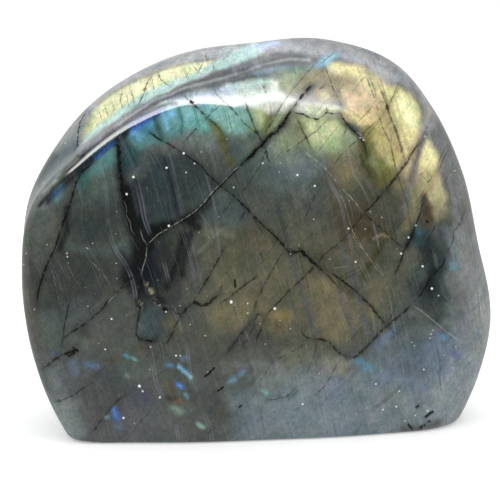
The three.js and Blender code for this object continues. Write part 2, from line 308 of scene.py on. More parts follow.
    ("khaki", 0.6, 1.5, [(8.5, 72), (11, 72.5), (12, 69), (10.5, 68)]),
    ("peach", 0.9, 1.5, [(22, 80), (17, 87), (24, 87), (31, 84), (38, 79), (40.6, 73), (41.8, 69),
     (43.8, 62), (46, 54), (44, 49), (41, 53), (36, 60), (33, 66), (30, 70), (27, 72), (23, 74)]),
    # painted reflection over the stone's colour: the pale grey of the right rim
    ("rimPaleReflection", 0.9, 1.5, [(30, 86), (36, 82), (41, 77), (43, 72), (46, 63), (48, 52), (50, 44), (62, 44),
     (60, 70), (40, 92)]),
    # painted reflection over the stone's colour: pale greys along the top
    ("topGreyReflection", 1, 1.2, [(-56, 52), (-48, 60), (-42, 66), (-30, 75.5), (-20, 80.6), (-8, 84.6), (0, 87.4),
     (6, 89.4), (8, 99), (-30, 99), (-62, 66)]),
    ("lilacGreyReflection", 0.97, 1.2, [(-4, 90), (6, 89.4), (14, 88), (20, 88.5), (26, 86), (31, 83.5), (36, 81),
     (42, 84), (34, 99), (-4, 99)]),
    # painted reflection: the softbox's glare over the ridge and the flash band
    ("paintedGlareWhite", 0.95, 0.9, [(-30, 73.6), (-24, 76), (-20, 77), (-12, 77), (-4, 76.4), (4, 75.6),
     (12, 74.6), (19, 75.2), (20, 76.4), (12, 76.9), (7.5, 78.6), (6, 80.6), (6, 83), (3, 83), (-4, 82.2),
     (-12, 80.7), (-20, 78.6), (-30, 74.4)]),
    ("paintedGlareBlue", 0.8, 1, [(-31, 74.2), (-22, 77.6), (-12, 77.4), (-6, 79), (-4, 82.4), (-12, 81), (-20, 79),
     (-31, 75)]),
    ("flashCyan", 0.6, 1, [(-8, 81), (-4, 82.3), (1, 83.6), (5, 83.4), (4, 81.6), (-3, 80.4)]),
    ("paleGreen", 0.5, 1.2, [(5, 84.6), (11, 85.2), (11, 83), (5, 82)]),
    ("khaki", 0.6, 1, [(7, 81.5), (12, 80.5), (12, 78.8), (8, 79.5)]),
    ("flashCyan", 0.6, 0.9, [(3, 78), (7, 78.2), (10, 77), (12, 77.2), (12.5, 75), (9.8, 75.2), (7, 76.5),
     (3, 77)]),
    ("khaki", 0.9, 0.8, [(8, 79.6), (12, 78), (18, 77.4), (20.5, 77.8), (18, 79.2), (12, 79.6), (9, 81)]),
    ("peachGold", 0.95, 1, [(19, 75.8), (24, 76.4), (28, 74.4), (29, 70.6), (26, 69.8), (23.5, 71.8),
     (21, 73.2)]),
    # painted reflection: the paler lower edge of the softbox's glare
    ("paintedGlareIvory", 0.8, 1, [(0, 77.4), (8, 77.4), (16, 76.4), (21, 75.6), (20, 74.4), (15, 73.6), (11, 74),
     (9.5, 74.6), (7, 75), (2, 75.6)]),
    ("limeYellow", 0.6, 1, [(11.5, 77.3), (15, 77), (18.5, 76.6), (20.5, 75.8), (20, 74.6), (16, 74),
     (12, 75)]),
    ("veilTan", 0.75, 1, [(10, 80), (10.6, 84.5), (13, 86.2), (17, 85), (22, 82.6), (24.5, 79.5), (22, 77.6),
     (17, 78.8), (12, 79)]),
    ("veilBrown", 0.5, 0.9, [(16, 84.4), (20, 84.2), (24.5, 82.4), (24, 80.6), (20, 82), (16, 82.4)]),
    ("peach", 0.5, 0.8, [(20.8, 81), (23.6, 81), (24, 78.8), (21, 78.6)]),
    ("teal", 0.45, 0.8, [(7.6, 84.4), (9, 86.4), (13, 86.6), (13.4, 84.6), (10.5, 83.6)]),
    # painted reflection: the softbox's glare
    ("paintedGlareIvory", 0.7, 0.8, [(5.6, 78.6), (8, 78.5), (11, 78), (12, 76.2), (9, 75.6), (6, 76.4)]),
    ("khaki", 0.5, 0.6, [(5.6, 79.8), (7.8, 81.8), (9, 80.8), (7.6, 79)]),
    ("paleGreen", 0.6, 0.9, [(6.4, 84), (10, 84.6), (10.6, 81.6), (9, 79.6), (6.4, 81)]),
    ("mossGrey", 0.7, 0.7, [(2.5, 84.4), (7, 84.2), (7, 82.8), (3.5, 83.2)]),
    ("olive", 0.5, 1, [(10.5, 80.4), (13, 80), (13, 77.6), (11, 77.6)]),
    ("peach", 0.95, 1.4, [(21, 79.5), (24.5, 80), (27, 77.6), (29.3, 74.5), (29, 71.8), (26, 71.6),
     (23.6, 73.6), (21, 75)]),
    ("peachGold", 0.85, 1, [(14.5, 80.3), (17.5, 80.6), (18.8, 78.4), (16.5, 77.4)]),
    ("yellow", 0.9, 1.2, [(17, 87), (20.5, 87), (24, 85.4), (28, 84), (31.6, 80), (29.8, 77.6), (26.5, 81),
     (22, 83.6), (18, 84.6)]),
    ("khaki", 0.3, 1, [(19.5, 84.8), (24, 84), (27, 80.5), (25.5, 79.5), (21.5, 82.4)]),
    ("tan", 0.9, 1.5, [(25, 77), (30, 78), (33, 72), (35.5, 65), (34.5, 61), (31, 62), (28, 70)]),
    ("peach", 0.5, 1.2, [(32, 73), (34, 71), (36, 66), (34.6, 64.5), (32.6, 69)]),
    ("lightOlive", 0.95, 1, [(26, 71.5), (29, 72), (31.5, 67), (34, 60), (31, 56.5), (28, 58.5), (25.5, 63),
     (24.5, 67)]),
    ("khaki", 0.7, 1.2, [(28.3, 70), (31, 70.5), (33, 64), (31.6, 62.5), (29.6, 65)]),
    ("tan", 0.5, 1.2, [(29.5, 69.5), (31.5, 69.5), (32.6, 65), (31, 64)]),
    ("tanOlive", 0.9, 1, [(27.5, 72.5), (31.5, 72), (34.5, 66), (34.5, 62), (32.4, 62), (29.5, 65),
     (28, 68.5)]),
    ("yellow", 0.7, 0.8, [(23, 74.8), (27, 74.2), (27, 71.8), (24.6, 71.8)]),
    ("tan", 0.6, 0.7, [(31.2, 71), (34.2, 70.8), (34, 67.8), (31.8, 67.8)]),
    ("darkOlive", 0.8, 1, [(24.5, 68), (26.5, 68), (28, 63), (29.5, 59), (28, 58.5), (25.8, 62)]),
    ("olive", 0.7, 1, [(28, 61), (30, 62), (32.6, 60), (31, 57), (29, 58)]),
    ("yellow", 0.98, 1, [(30.5, 82), (35, 81), (38.5, 77), (39.8, 73), (39.2, 69.5), (37.3, 67.5), (36, 64),
     (34.5, 68), (32.4, 75), (30.3, 79)]),
    ("paleYellow", 0.9, 1.3, [(35, 80), (38, 76.6), (39.2, 72.4), (37.6, 70), (35, 73.5), (33.6, 79)]),
    ("rimDarkReflection", 0.6, 1.5, [(40, 71), (42, 70), (43, 62), (39, 58), (37, 53), (35, 54), (38, 62)]),
    ("yellow", 0.95, 0.9, [(41.5, 69.6), (43.3, 66), (44.8, 61), (44.5, 57.5), (41.5, 57), (39, 61.5),
     (39.5, 66)]),
    ("paleYellow", 0.5, 1, [(41, 68), (42.6, 65.6), (43, 62.5), (41, 62.5), (40, 65)]),
    ("peachGold", 0.95, 1.2, [(39.5, 61), (44.8, 61), (46, 55), (46.4, 51.4), (43.5, 51.4), (41.5, 55.5),
     (38.5, 58)]),
    ("khaki", 0.7, 1.5, [(37, 58), (40, 59), (40.3, 53), (38.5, 48), (36, 50)]),
    ("khaki", 0.6, 1.2, [(42, 53), (46.5, 52.5), (47, 49), (43.4, 48.6)]),
    ("rust", 0.85, 0.8, [(40.6, 55.6), (42.5, 52), (42.8, 48), (40.5, 46.5), (39.6, 50)]),
    ("greyBrown", 0.6, 1.5, [(42.5, 49), (47, 49), (48, 45), (42, 45)]),
    ("darkTeal", 0.6, 1.2, [(37.5, 48), (42, 47), (41.5, 43), (38, 42.5)]),
    # painted reflection over the stone's colour: the greys of the upper right rim and the top
    ("rimDarkReflection", 0.9, 2, [(41.5, 76), (43.5, 70), (46, 60), (48, 50), (52, 44), (60, 50), (56, 70),
     (45, 80)]),
    ("rimGreyReflection", 0.6, 1.5, [(44, 71), (46.5, 63), (45, 58), (44, 63), (42.5, 68)]),
    ("rimPaleReflection", 0.95, 1.5, [(30, 88), (33, 84.5), (36, 81.6), (39.4, 78), (40.4, 73), (40, 70.4), (42, 69.6),
     (43.4, 72), (45, 80), (38, 92)]),
    ("rimGreyReflection", 0.4, 1.5, [(41, 84), (46, 74), (50, 62), (53, 52), (60, 60), (50, 84)]),
    ("rimPaleReflection", 0.7, 0.8, [(40.4, 76.4), (42.8, 75), (43, 71), (41.6, 70.2), (40.2, 73)]),
    ("lilacGreyReflection", 0.95, 1.2, [(-4, 94), (1, 90), (5, 89.4), (13, 88.8), (20, 89.4), (28, 85.4), (32, 82.4),
     (36, 81.6), (42, 86), (30, 96), (0, 99)]),
    ("rimPaleReflection", 0.65, 1, [(9, 90.4), (20, 90), (27, 87.4), (33, 84.4), (37, 82), (45, 84), (34, 98),
     (8, 98)]),
    ("skyBlue", 0.8, 0.8, [(13.3, 86), (16, 88.4), (19.5, 89.8), (20.3, 88.3), (17, 86.3), (15, 85.6)]),
    ("flashCyan", 0.4, 0.6, [(15.5, 87), (18, 88.6), (19.6, 88.6), (17, 86.8)]),
    # painted reflection over the stone's colour: pale greys of the upper left rim and the top
    ("topGreyReflection", 0.95, 0.9, [(-50, 58), (-43.5, 64), (-42.8, 70), (-40, 75.5), (-34, 80.5), (-26, 84.5),
     (-16, 87.6), (-6, 90.5), (2, 92), (2, 99), (-20, 95), (-40, 84), (-50, 72), (-58, 56)]),
    ("rimPaleReflection", 0.8, 1.5, [(-52, 55), (-43.5, 64), (-42.8, 70), (-40, 76), (-46, 76), (-56, 62), (-58, 50)]),
    ("mossGrey", 0.7, 1.5, [(-52, 57), (-45, 64), (-43.6, 68), (-46, 68), (-52, 60)]),
    ("valleyGrey", 0.97, 0.9, [(-50, 59), (-43, 65.5), (-34, 71.6), (-28, 75.8), (-20, 80.6), (-12, 83.5),
     (-4, 86.8), (0, 88.4), (6, 89.6), (13, 88.3), (14.5, 86.4), (8, 85.6), (0, 84), (-8, 81.5), (-16, 79.6),
     (-22, 77.5), (-28, 74), (-36, 69), (-44, 63.6), (-50, 57.5)]),
    ("valleyDark", 0.7, 0.7, [(-14, 82.4), (-4, 86), (2, 88), (10, 88), (12, 87), (0, 85.2), (-10, 82)]),
    ("darkBrown", 0.55, 0.9, [(1, 86.8), (4, 88), (11, 88.2), (12.5, 87), (6, 86.2)]),
    # painted reflection over the stone's colour: the paler bottom of the valley
    ("rimPaleReflection", 0.9, 0.9, [(-42, 67), (-36, 71), (-29, 75.6), (-30, 74), (-38, 69), (-43, 65.5)]),
    ("topGreyReflection", 0.6, 0.7, [(-43, 66), (-36, 70.6), (-31, 74.2), (-31, 73), (-36, 69.3), (-42, 65)]),
    ("darkSlate", 0.85, 1.4, [(-57, 52), (-51, 58.5), (-47, 63.5), (-49, 66), (-56, 59)]),
    ("flashYellow", 0.97, 0.7, [(-42, 68.6), (-40.5, 73.6), (-38, 76.6), (-33, 80), (-26, 83.4), (-16, 86.6),
     (-10, 87.4), (-11, 85.4), (-19, 82), (-26, 78.8), (-32, 75.6), (-38, 71.2)]),
    ("flashCyan", 0.9, 0.6, [(-42.3, 66.8), (-41, 69.6), (-36, 73.6), (-30, 77.6), (-24, 80.8), (-16, 83.8),
     (-9, 87.4), (-3, 91), (1.5, 92), (1.5, 89.4), (-3, 87.2), (-9.5, 84.6), (-17, 81.9), (-24, 78.8),
     (-32, 74), (-38, 69.8)]),
    ("limeYellow", 0.5, 1, [(-41.6, 69), (-40, 74), (-36, 77.4), (-32.6, 77), (-36, 73)]),
    ("flashSky", 0.9, 0.8, [(-1, 91.6), (4, 92.6), (6.5, 91.4), (1, 89.6)]),
    ("brightTeal", 0.55, 1.2, [(-18, 76), (-12, 76.8), (-4, 76.2), (-2, 73.6), (-7, 72.6), (-12, 74.6),
     (-17, 73)]),
    # painted reflection over the stone's colour: grey at the top
    ("rimGreyReflection", 0.35, 1.5, [(11, 89), (14, 92), (20, 91.6), (21, 89), (16, 88.6)]),
    ("paleGreen", 0.4, 0.8, [(7, 75.4), (10, 75.4), (9.6, 73.8), (7.6, 74)]),
    ("tan", 0.55, 1, [(30, 74), (33.4, 73), (35, 67), (34.4, 65), (32.4, 66.5), (30.6, 70)]),
    ("yellow", 0.5, 0.8, [(33.8, 75), (36, 75), (36.4, 70), (34.8, 69.6)]),
    ("tan", 0.5, 0.8, [(41.4, 61.4), (44, 61), (44.4, 58.6), (42, 58.6)]),
    ("peachGold", 0.35, 1.2, [(37.4, 57), (39.6, 57), (39.6, 52), (37.4, 52)]),
    ("rimDarkReflection", 0.5, 1, [(42.6, 48), (45.4, 48), (45.2, 45.6), (43, 45.6)]),
    ("nearBlack", 0.65, 1.2, [(-32.6, 41), (-30, 40), (-28.6, 33), (-29.4, 30.6), (-31, 32), (-32, 36)]),
    ("greenGrey", 0.7, 1.2, [(37.6, 38.6), (41, 38), (41, 35.4), (38, 35.4)]),
    # painted reflection over the stone's colour: pale grey of the right rim
    ("rimPaleReflection", 0.5, 1.5, [(53.5, 34), (57, 30), (57, 20), (54, 20)]),
    ("cream", 0.35, 2, [(7, 18), (14, 18.4), (14.5, 14.6), (8, 14.4)]),
    ("mossGrey", 0.5, 1.5, [(1, 66), (5, 67.6), (7, 65), (4, 62.6), (2, 63)]),
    ("mossGrey", 0.5, 1.5, [(-17, 69.5), (-11, 70), (-11, 66.4), (-15, 66.2)]),
    ("nearBlack", 0.5, 1.2, [(-15.4, 41), (-13, 41), (-13.4, 37), (-15.6, 37)]),
    ("nearBlack", 0.35, 1.2, [(-43, 23.6), (-40, 23.4), (-39.6, 20.4), (-42.6, 20.4)]),
    ("slate", 0.4, 1.2, [(-14.6, 11), (-11.4, 11), (-11.4, 8), (-14.6, 8)]),
    ("flashCyan", 0.5, 0.8, [(-10, 89.2), (-6, 91.4), (-4, 91), (-7.4, 88.8)]),
    ("khaki", 0.4, 0.9, [(21.6, 80.8), (24, 80.6), (24.4, 78.8), (22, 78.8)]),
    ("skyBlue", 0.35, 0.7, [(-1, 84.4), (4, 85.8), (9, 86.2), (8.6, 85.2), (4, 84.4), (0, 83.4)]),
    # painted reflection over the stone's colour
    ("lilacGreyReflection", 0.3, 0.9, [(9.4, 79.4), (13.6, 79.6), (13, 76.8), (10, 77)]),
    ("mossGrey", 0.35, 1, [(5.4, 85), (9, 85.6), (9, 82.8), (5.6, 82.6)]),
    ("valleyGrey", 0.3, 1.2, [(9, 80.4), (14, 80.6), (14, 78.2), (10, 78.4)]),
    ("valleyGrey", 0.25, 1, [(14.4, 83), (17.4, 83), (17.6, 80.6), (14.8, 80.6)]),
    ("peach", 0.4, 1, [(23.8, 78), (26.4, 78), (26.6, 75.4), (24, 75.2)]),
    ("flashSky", 0.4, 1, [(-6, 88.6), (-2, 90.4), (0, 90), (-4, 88)]),
    ("brightTeal", 0.35, 1.2, [(-7, 72.6), (-3, 73), (-3, 70), (-6, 70)]),
    ("peach", 0.4, 1, [(22, 75.4), (24.6, 75.4), (25, 73.6), (22.6, 73.4)]),
    ("tan", 0.6, 0.8, [(31.6, 72), (33.8, 71.6), (34, 69.4), (31.8, 69.6)]),
    ("khaki", 0.4, 1.4, [(16.6, 65), (20.4, 65), (20.4, 62.4), (16.8, 62.4)]),
    ("greyBrown", 0.5, 1.4, [(49.6, 54), (52, 53.6), (51, 48), (48.4, 47.6)]),
    ("nearBlack", 0.4, 1.2, [(-28, 51), (-25, 51), (-25, 48), (-28, 48)]),
    ("greenGrey", 0.35, 1.2, [(41, 41), (44, 41), (44, 38), (41.4, 38)]),
    ("paleSlate", 0.4, 2.5, [(6, 14), (18, 14), (19, 4), (30, 3.6), (30, -2), (6, -3)]),
    ("paleSlate", 0.4, 2, [(45, 18), (50, 17), (53, 13), (50, 8), (46, 12)]),
    ("cream", 0.3, 1.5, [(-9, 15), (-5.4, 15), (-5.6, 12.2), (-9, 12.2)]),
    # painted reflection over the stone's colour: greys of the upper right rim
    ("rimPaleReflection", 0.55, 1, [(35.6, 81.4), (38.6, 80.6), (40.4, 77), (38.8, 77.6), (37, 79.6)]),
    ("rimGreyReflection", 0.3, 1, [(31.8, 82.8), (35.8, 82), (35.8, 80.6), (32.5, 81.2)]),
    ("yellow", 0.55, 0.8, [(23.2, 84.4), (26.6, 84), (29.6, 81.6), (28.6, 80.4), (26.4, 82), (24, 82.8)]),
    ("khaki", 0.2, 0.8, [(21.6, 84.8), (23, 84.8), (22.8, 81.4), (21.4, 81.6)]),
    ("brightTeal", 0.4, 1.2, [(-7.4, 75), (-1.6, 75), (-2.2, 69.2), (-4.6, 69.4), (-6.8, 71.6)]),
    ("mossGrey", 0.4, 1.2, [(-6.6, 69.6), (-3.6, 69.8), (-3.2, 66.8), (-6, 66.6)]),
    ("leafGreen", 0.2, 1.5, [(-3, 68), (0, 68.4), (0.6, 64.4), (-2.6, 63.8)]),
    ("leafGreen", 0.3, 1.6, [(2, 66.4), (6.6, 67.6), (11, 65.4), (11, 62), (3, 61.6)]),
    ("paleGreen", 0.25, 1.2, [(11.6, 68.4), (17, 72.4), (17, 69), (13, 66)]),
    ("mossGrey", 0.35, 1.4, [(-16.6, 70.4), (-12, 69.6), (-10.4, 66.4), (-14, 66)]),
    ("valleyGrey", 0.5, 1.2, [(11.8, 80.4), (14.8, 80), (14.6, 77.2), (12.2, 77.4)]),
    ("brown", 0.25, 3, [(18, 58), (32, 60), (35, 48), (33, 38), (20, 37), (17, 48)]),
    ("nearBlack", 0.35, 2, [(-22.5, 43), (-17.5, 43), (-17, 34), (-18, 27), (-22, 27), (-23, 34)]),
    ("mossGrey", 0.25, 2.5, [(1, 62.5), (17, 63), (17.5, 52), (10, 52.6), (2, 58)]),
]

# Narrow soft bands and flecks on top of them: tint, strength, half width and soft edge in mm, line in mm.
frontStrokes = [
    ("nearBlack", 0.9, 0.35, 0.4, [(-52, 52.5), (-48, 57), (-44, 60.4), (-40, 63.2), (-37, 65.6),
     (-33.5, 68), (-31, 70.3), (-28, 72.8), (-25.5, 74.6), (-22, 76), (-19, 76.8)]),
    ("ink", 0.8, 0.5, 0.7, [(-50, 53.5), (-46, 57.5), (-42, 60.8), (-38, 64.2), (-34, 67), (-30.5, 70),
     (-27, 72.9), (-23, 75)]),
    ("deepBlue", 0.3, 0.4, 0.7, [(-49.5, 54.5), (-48, 56), (-46.5, 57)]),
    ("cyanBlue", 0.35, 0.7, 1, [(-48, 54), (-47, 57)]),
    ("blue", 0.5, 0.4, 0.7, [(-38.2, 63.8), (-36.5, 65.3), (-34, 67.2)]),
    ("blue", 0.6, 0.5, 0.8, [(-29, 70.5), (-27, 72.3), (-25, 73.6)]),
    ("deepBlue", 0.7, 0.6, 0.9, [(-25, 73.8), (-23.5, 74.8), (-22, 75.3)]),
    ("skyBlue", 0.7, 0.4, 0.6, [(-22.5, 75), (-21.5, 72), (-21, 70.5)]),
    ("skyBlue", 0.6, 0.4, 0.6, [(-20.5, 76), (-19.8, 74)]),
    ("darkTeal", 0.7, 0.5, 0.6, [(-24.7, 74), (-23.5, 71), (-22.5, 68.5)]),
    ("darkTeal", 0.5, 0.3, 0.4, [(-18.5, 76), (-17.5, 72.5), (-17.8, 69.5)]),
    ("skyBlue", 0.5, 0.6, 0.8, [(-29, 70), (-27.5, 68.5)]),
    ("tealGrey", 0.5, 0.25, 0.25, [(-37.7, 58.5), (-35.2, 49.5), (-33.2, 41)]),
    ("tealGrey", 0.5, 0.2, 0.3, [(-26, 64), (-23.5, 55), (-20.8, 47)]),
    ("purpleGrey", 0.8, 0.22, 0.3, [(-20.6, 66), (-19.3, 59), (-17.3, 50)]),
    ("ink", 0.7, 0.4, 0.4, [(-21.6, 64), (-20.3, 58), (-18.4, 50)]),
    ("ink", 0.85, 0.8, 0.8, [(-28.8, 58), (-27.5, 52), (-26, 47)]),
    ("purpleGrey", 0.4, 0.15, 0.3, [(-28, 59), (-26.6, 53), (-25.3, 48)]),
    ("purpleGrey", 0.35, 0.15, 0.3, [(-29.6, 56), (-28.2, 50)]),
    ("darkTeal", 0.5, 0.6, 0.8, [(-24, 62), (-22.8, 57)]),
    ("purpleGrey", 0.85, 0.5, 0.5, [(-16.3, 46), (-15.7, 42), (-14.2, 34), (-13, 32)]),
    ("mossGrey", 0.5, 0.15, 0.3, [(-15, 43.5), (-13.2, 36), (-12.8, 33)]),
    ("mossGrey", 0.5, 0.2, 0.4, [(-14, 40.8), (-10.5, 44.3), (-7.5, 47.3)]),
    ("mossGrey", 0.45, 0.2, 0.3, [(-13.5, 51), (-11, 47.5), (-9.8, 44.5)]),
    ("leafGreen", 0.25, 0.8, 1, [(-11, 45.5), (-8, 46), (-5.5, 45.3)]),
    ("purpleGrey", 0.7, 0.55, 0.5, [(8.7, 41), (10.3, 35), (12.3, 28), (14.5, 21.5)]),
    ("purpleGrey", 0.6, 0.4, 0.4, [(7.6, 36), (8.8, 30), (10.3, 24)]),
    ("purpleGrey", 0.7, 0.6, 0.5, [(20.7, 43), (22.5, 37), (25, 30), (27, 22)]),
    ("purpleGrey", 0.6, 0.5, 0.5, [(19.5, 34), (21.5, 28), (24, 21)]),
    ("darkOlive", 0.8, 0.8, 0.8, [(25.5, 35.5), (28, 39.5), (30.5, 43.5)]),
    ("darkOlive", 0.6, 0.6, 0.8, [(19.5, 34), (22.8, 31.5)]),
    ("darkSlate", 0.45, 0.6, 0.8, [(5.5, 52), (8, 42)]),
    ("darkSlate", 0.3, 1.6, 2, [(15.5, 58), (13.5, 52)]),
    ("warmGrey", 0.6, 0.7, 1, [(-7, 17), (-3, 21), (0, 26)]),
    ("darkBrown", 0.7, 1, 1.2, [(-7, 17), (-3.5, 21.5), (-1, 24)]),
    ("darkBrown", 0.6, 1.1, 1.3, [(-4.5, 18.5), (0, 21), (4, 20.5), (8, 20)]),
    ("ochre", 0.7, 1.2, 1.4, [(5.5, 26.5), (8, 26)]),
    ("orangeBrown", 0.25, 0.9, 0.9, [(4.5, 24.5), (5.7, 23)]),
    ("gold", 0.5, 0.8, 1, [(-2, 29.5), (2, 28.5)]),
    ("gold", 0.5, 1.2, 1.2, [(-20.5, 25), (-18, 23)]),
    ("ochre", 0.4, 1, 1.2, [(27, 27.5), (28, 26)]),
    ("ochre", 0.3, 1.2, 1.6, [(16, 34), (18, 32.5)]),
    ("tan", 0.35, 0.3, 0.4, [(28.5, 44.5), (30.5, 45.5), (32.3, 44.8)]),
    ("nearBlack", 0.75, 0.8, 0.7, [(-15.8, 49.3), (-14.8, 47.3), (-13.5, 47.2)]),
    ("nearBlack", 0.8, 0.7, 0.9, [(-17.3, 45.5), (-18.6, 39), (-21, 33)]),
    ("nearBlack", 0.85, 1.1, 1, [(-31.6, 56), (-30.8, 50), (-29.5, 46)]),
    ("nearBlack", 0.8, 0.9, 0.9, [(-24, 46.4), (-19, 48.2), (-15.5, 50)]),
    ("khaki", 0.3, 0.5, 0.6, [(26.5, 86), (29, 80), (31, 74), (34, 66)]),
    ("veilBrown", 0.3, 0.3, 0.5, [(28.5, 84), (33, 75), (36.5, 67), (38, 63)]),
    ("veilBrown", 0.3, 0.3, 0.5, [(35.5, 83), (31, 75), (27.5, 70)]),
    ("nearBlack", 0.8, 1, 0.9, [(-28, 29.5), (-27.2, 28.4)]),
    ("nearBlack", 0.85, 0.7, 0.7, [(-23, 30.2), (-22, 29.4)]),
    ("nearBlack", 0.7, 0.6, 0.9, [(-15.6, 46), (-16.8, 40), (-17.6, 36)]),
    ("nearBlack", 0.7, 0.6, 0.9, [(-45, 52), (-45.4, 47), (-46.8, 42)]),
    ("nearBlack", 0.7, 0.4, 0.5, [(-46, 60.4), (-43.5, 62.3), (-41, 64.2)]),
    ("nearBlack", 0.5, 0.7, 0.6, [(-27.5, 20.4), (-25.5, 20), (-24.2, 20.3)]),
    ("rust", 0.6, 0.7, 0.6, [(-28, 18.3), (-26.5, 17.8)]),
    ("darkBrown", 0.7, 1, 0.8, [(-27, 19), (-24.5, 17)]),
    ("tan", 0.75, 0.3, 0.3, [(-26.2, 34), (-25.9, 33.4)]),
    ("tan", 0.8, 0.4, 0.35, [(-25.2, 32.4), (-24.7, 31.7)]),
    ("tan", 0.75, 0.2, 0.25, [(-24.2, 29.9), (-24, 29.4)]),
    ("tan", 0.75, 0.15, 0.2, [(-23, 28.7), (-22.8, 28.5)]),
    ("pinkBrown", 0.8, 0.15, 0.2, [(-28.2, 33), (-27.6, 32.4)]),
    ("glint", 0.6, 0.15, 0.2, [(-28, 30), (-27.8, 28.6), (-28.2, 27.7), (-27.6, 27.5)]),
    ("glint", 0.6, 0.12, 0.2, [(-27.5, 29), (-27, 28.5), (-27.1, 27.9)]),
    ("rust", 0.5, 0.5, 0.6, [(-35, 15.5), (-32, 16)]),
    ("cyanBlue", 0.75, 0.45, 0.45, [(-31.2, 16.5), (-30.6, 16.1)]),
    ("greenBlue", 0.8, 0.3, 0.4, [(-29.6, 16), (-28.7, 15.6)]),
    ("seaGreen", 0.5, 0.3, 0.4, [(-31.2, 11.9), (-30.2, 11.7)]),
    ("blueSlate", 0.7, 0.9, 1, [(-43.5, 14.5), (-43, 12.8)]),
    ("deepBlue", 0.35, 0.8, 0.8, [(-40, 14.2), (-38.5, 14)]),
    ("blueSlate", 0.6, 0.8, 1, [(-40.3, 14), (-38.3, 14)]),
    ("deepBlue", 0.4, 0.4, 0.5, [(-48.8, 17.3), (-48, 17)]),
    ("greenGrey", 0.6, 0.8, 1, [(-41, 20), (-40, 18.3)]),
    ("greenGrey", 0.6, 1.3, 1.6, [(-32, 14), (-28, 13.5), (-24, 13)]),
    ("skyBlue", 0.95, 0.42, 0.4, [(-18.2, 13.8), (-17, 12.8), (-15.3, 11.4)]),
    ("cyanBlue", 0.7, 0.5, 0.5, [(-21, 14.2), (-20, 14)]),
    ("blue", 0.8, 0.55, 0.6, [(-18.6, 9.8), (-17.6, 9.3)]),
    ("skyBlue", 0.5, 0.3, 0.4, [(-18.4, 9.6), (-17.8, 9.2)]),
    ("skyBlue", 0.5, 0.3, 0.4, [(-16.9, 7.4), (-16.2, 6.5)]),
    ("blueSlate", 0.8, 0.6, 0.8, [(-17.2, 15.8), (-16.2, 15.5)]),
    ("rust", 0.6, 0.8, 0.8, [(-21, 10), (-19.5, 8)]),
    ("orangeBrown", 0.6, 0.5, 0.6, [(-20, 6), (-18, 5.6)]),
    ("nearBlack", 0.5, 0.5, 0.6, [(-21.5, 6.5), (-19, 6.2)]),
    ("indigo", 0.25, 0.9, 1, [(-28, 7), (-25.5, 6)]),
    ("indigo", 0.2, 0.7, 0.9, [(-26.5, 9.5), (-25.5, 8)]),
    ("blue", 0.75, 0.75, 0.8, [(-33.8, 3.4), (-33.3, 1.8)]),
    ("skyBlue", 0.4, 0.3, 0.4, [(-34, 3.5), (-33.7, 2)]),
    ("blueSlate", 0.6, 0.8, 1, [(-33.4, 1), (-33, -0.5)]),
    ("greenBlue", 0.6, 0.4, 0.5, [(-36, 2), (-35.2, 2)]),
    ("greenGrey", 0.7, 1.2, 1.2, [(-19.5, 4), (-17.5, 3)]),
    ("seaGreen", 0.45, 0.7, 0.9, [(-19.5, 4), (-18, 2.8)]),
    ("seaGreen", 0.9, 0.55, 0.5, [(-13.7, 0), (-12.8, -0.6)]),
    ("darkBrown", 0.75, 2, 2, [(-12, 8), (-9.5, 5), (-9, 2.5)]),
    ("rust", 0.5, 0.4, 0.5, [(-8.6, 3), (-8, 2.4)]),
    ("blueSlate", 0.7, 0.6, 0.8, [(-6, 10.2), (-4.5, 11.5), (-2.8, 12.8)]),
    ("skyBlue", 0.35, 0.4, 0.6, [(-5.8, 10.3), (-4.8, 10.7)]),
    ("skyBlue", 0.3, 0.3, 0.5, [(-3.2, 12), (-2.7, 12.8)]),
    ("greenBlue", 0.6, 0.4, 0.5, [(1.8, 8.3), (2.8, 7.6)]),
    ("mossGrey", 0.5, 0.9, 1, [(-4, 14), (2, 15)]),
    ("cyanBlue", 0.45, 1, 1, [(24, 15.6), (27, 14)]),
    ("blueSlate", 0.6, 0.9, 1, [(29, 19), (33, 22.5)]),
    ("darkSlate", 0.4, 0.9, 1.2, [(33.5, 22), (36.5, 25), (39, 25)]),
    ("cyanBlue", 0.12, 0.6, 0.8, [(31.5, 21.5), (33.5, 22.8)]),
    ("blueSlate", 0.7, 0.9, 1, [(44, 21.5), (46, 21)]),
    ("cyanBlue", 0.35, 0.5, 0.6, [(44.5, 21.3), (45.5, 20.9)]),
    ("indigo", 0.4, 0.7, 0.9, [(47.5, 17.3), (48.7, 16)]),
    ("blueSlate", 0.6, 0.5, 0.6, [(53.3, 22), (53.8, 21)]),
    ("greenGrey", 0.2, 2, 2.5, [(24, 9), (34, 8)]),
    ("purpleGrey", 0.4, 1.6, 2, [(33, 16), (40, 12)]),
    ("paleSlate", 0.4, 0.9, 1.5, [(42, 22), (46, 25)]),
    ("darkBrown", 0.7, 1, 1, [(36, -1.2), (40, -0.8), (44, 0.5)]),
    ("darkOlive", 0.8, 0.35, 0.3, [(25.3, 64.6), (26.2, 62), (27.5, 60.2), (28.5, 59), (29.3, 57)]),
    ("nearBlack", 0.55, 0.6, 0.6, [(21.8, 72), (23.5, 70.3), (25.3, 68.6)]),
    ("glint", 0.6, 0.3, 0.4, [(24.6, 69.6), (25.8, 68.4)]),
    ("leafGreen", 0.35, 1, 1.2, [(28, 63.5), (29.5, 61)]),
    ("darkOlive", 0.5, 0.5, 0.6, [(27, 61.5), (29, 60)]),
    ("nearBlack", 0.15, 0.3, 0.5, [(5, 70), (6.2, 72), (8, 73.6)]),
    # painted reflection: a fleck of the softbox's glare
    ("paintedGlareWhite", 0.3, 0.25, 0.3, [(7, 74.5), (8.5, 76)]),
    # painted reflection over the stone's colour: the darker grey of the right rim
    ("rimDarkReflection", 0.75, 0.6, 0.7, [(41, 70), (39, 65), (37, 57), (35.5, 51)]),
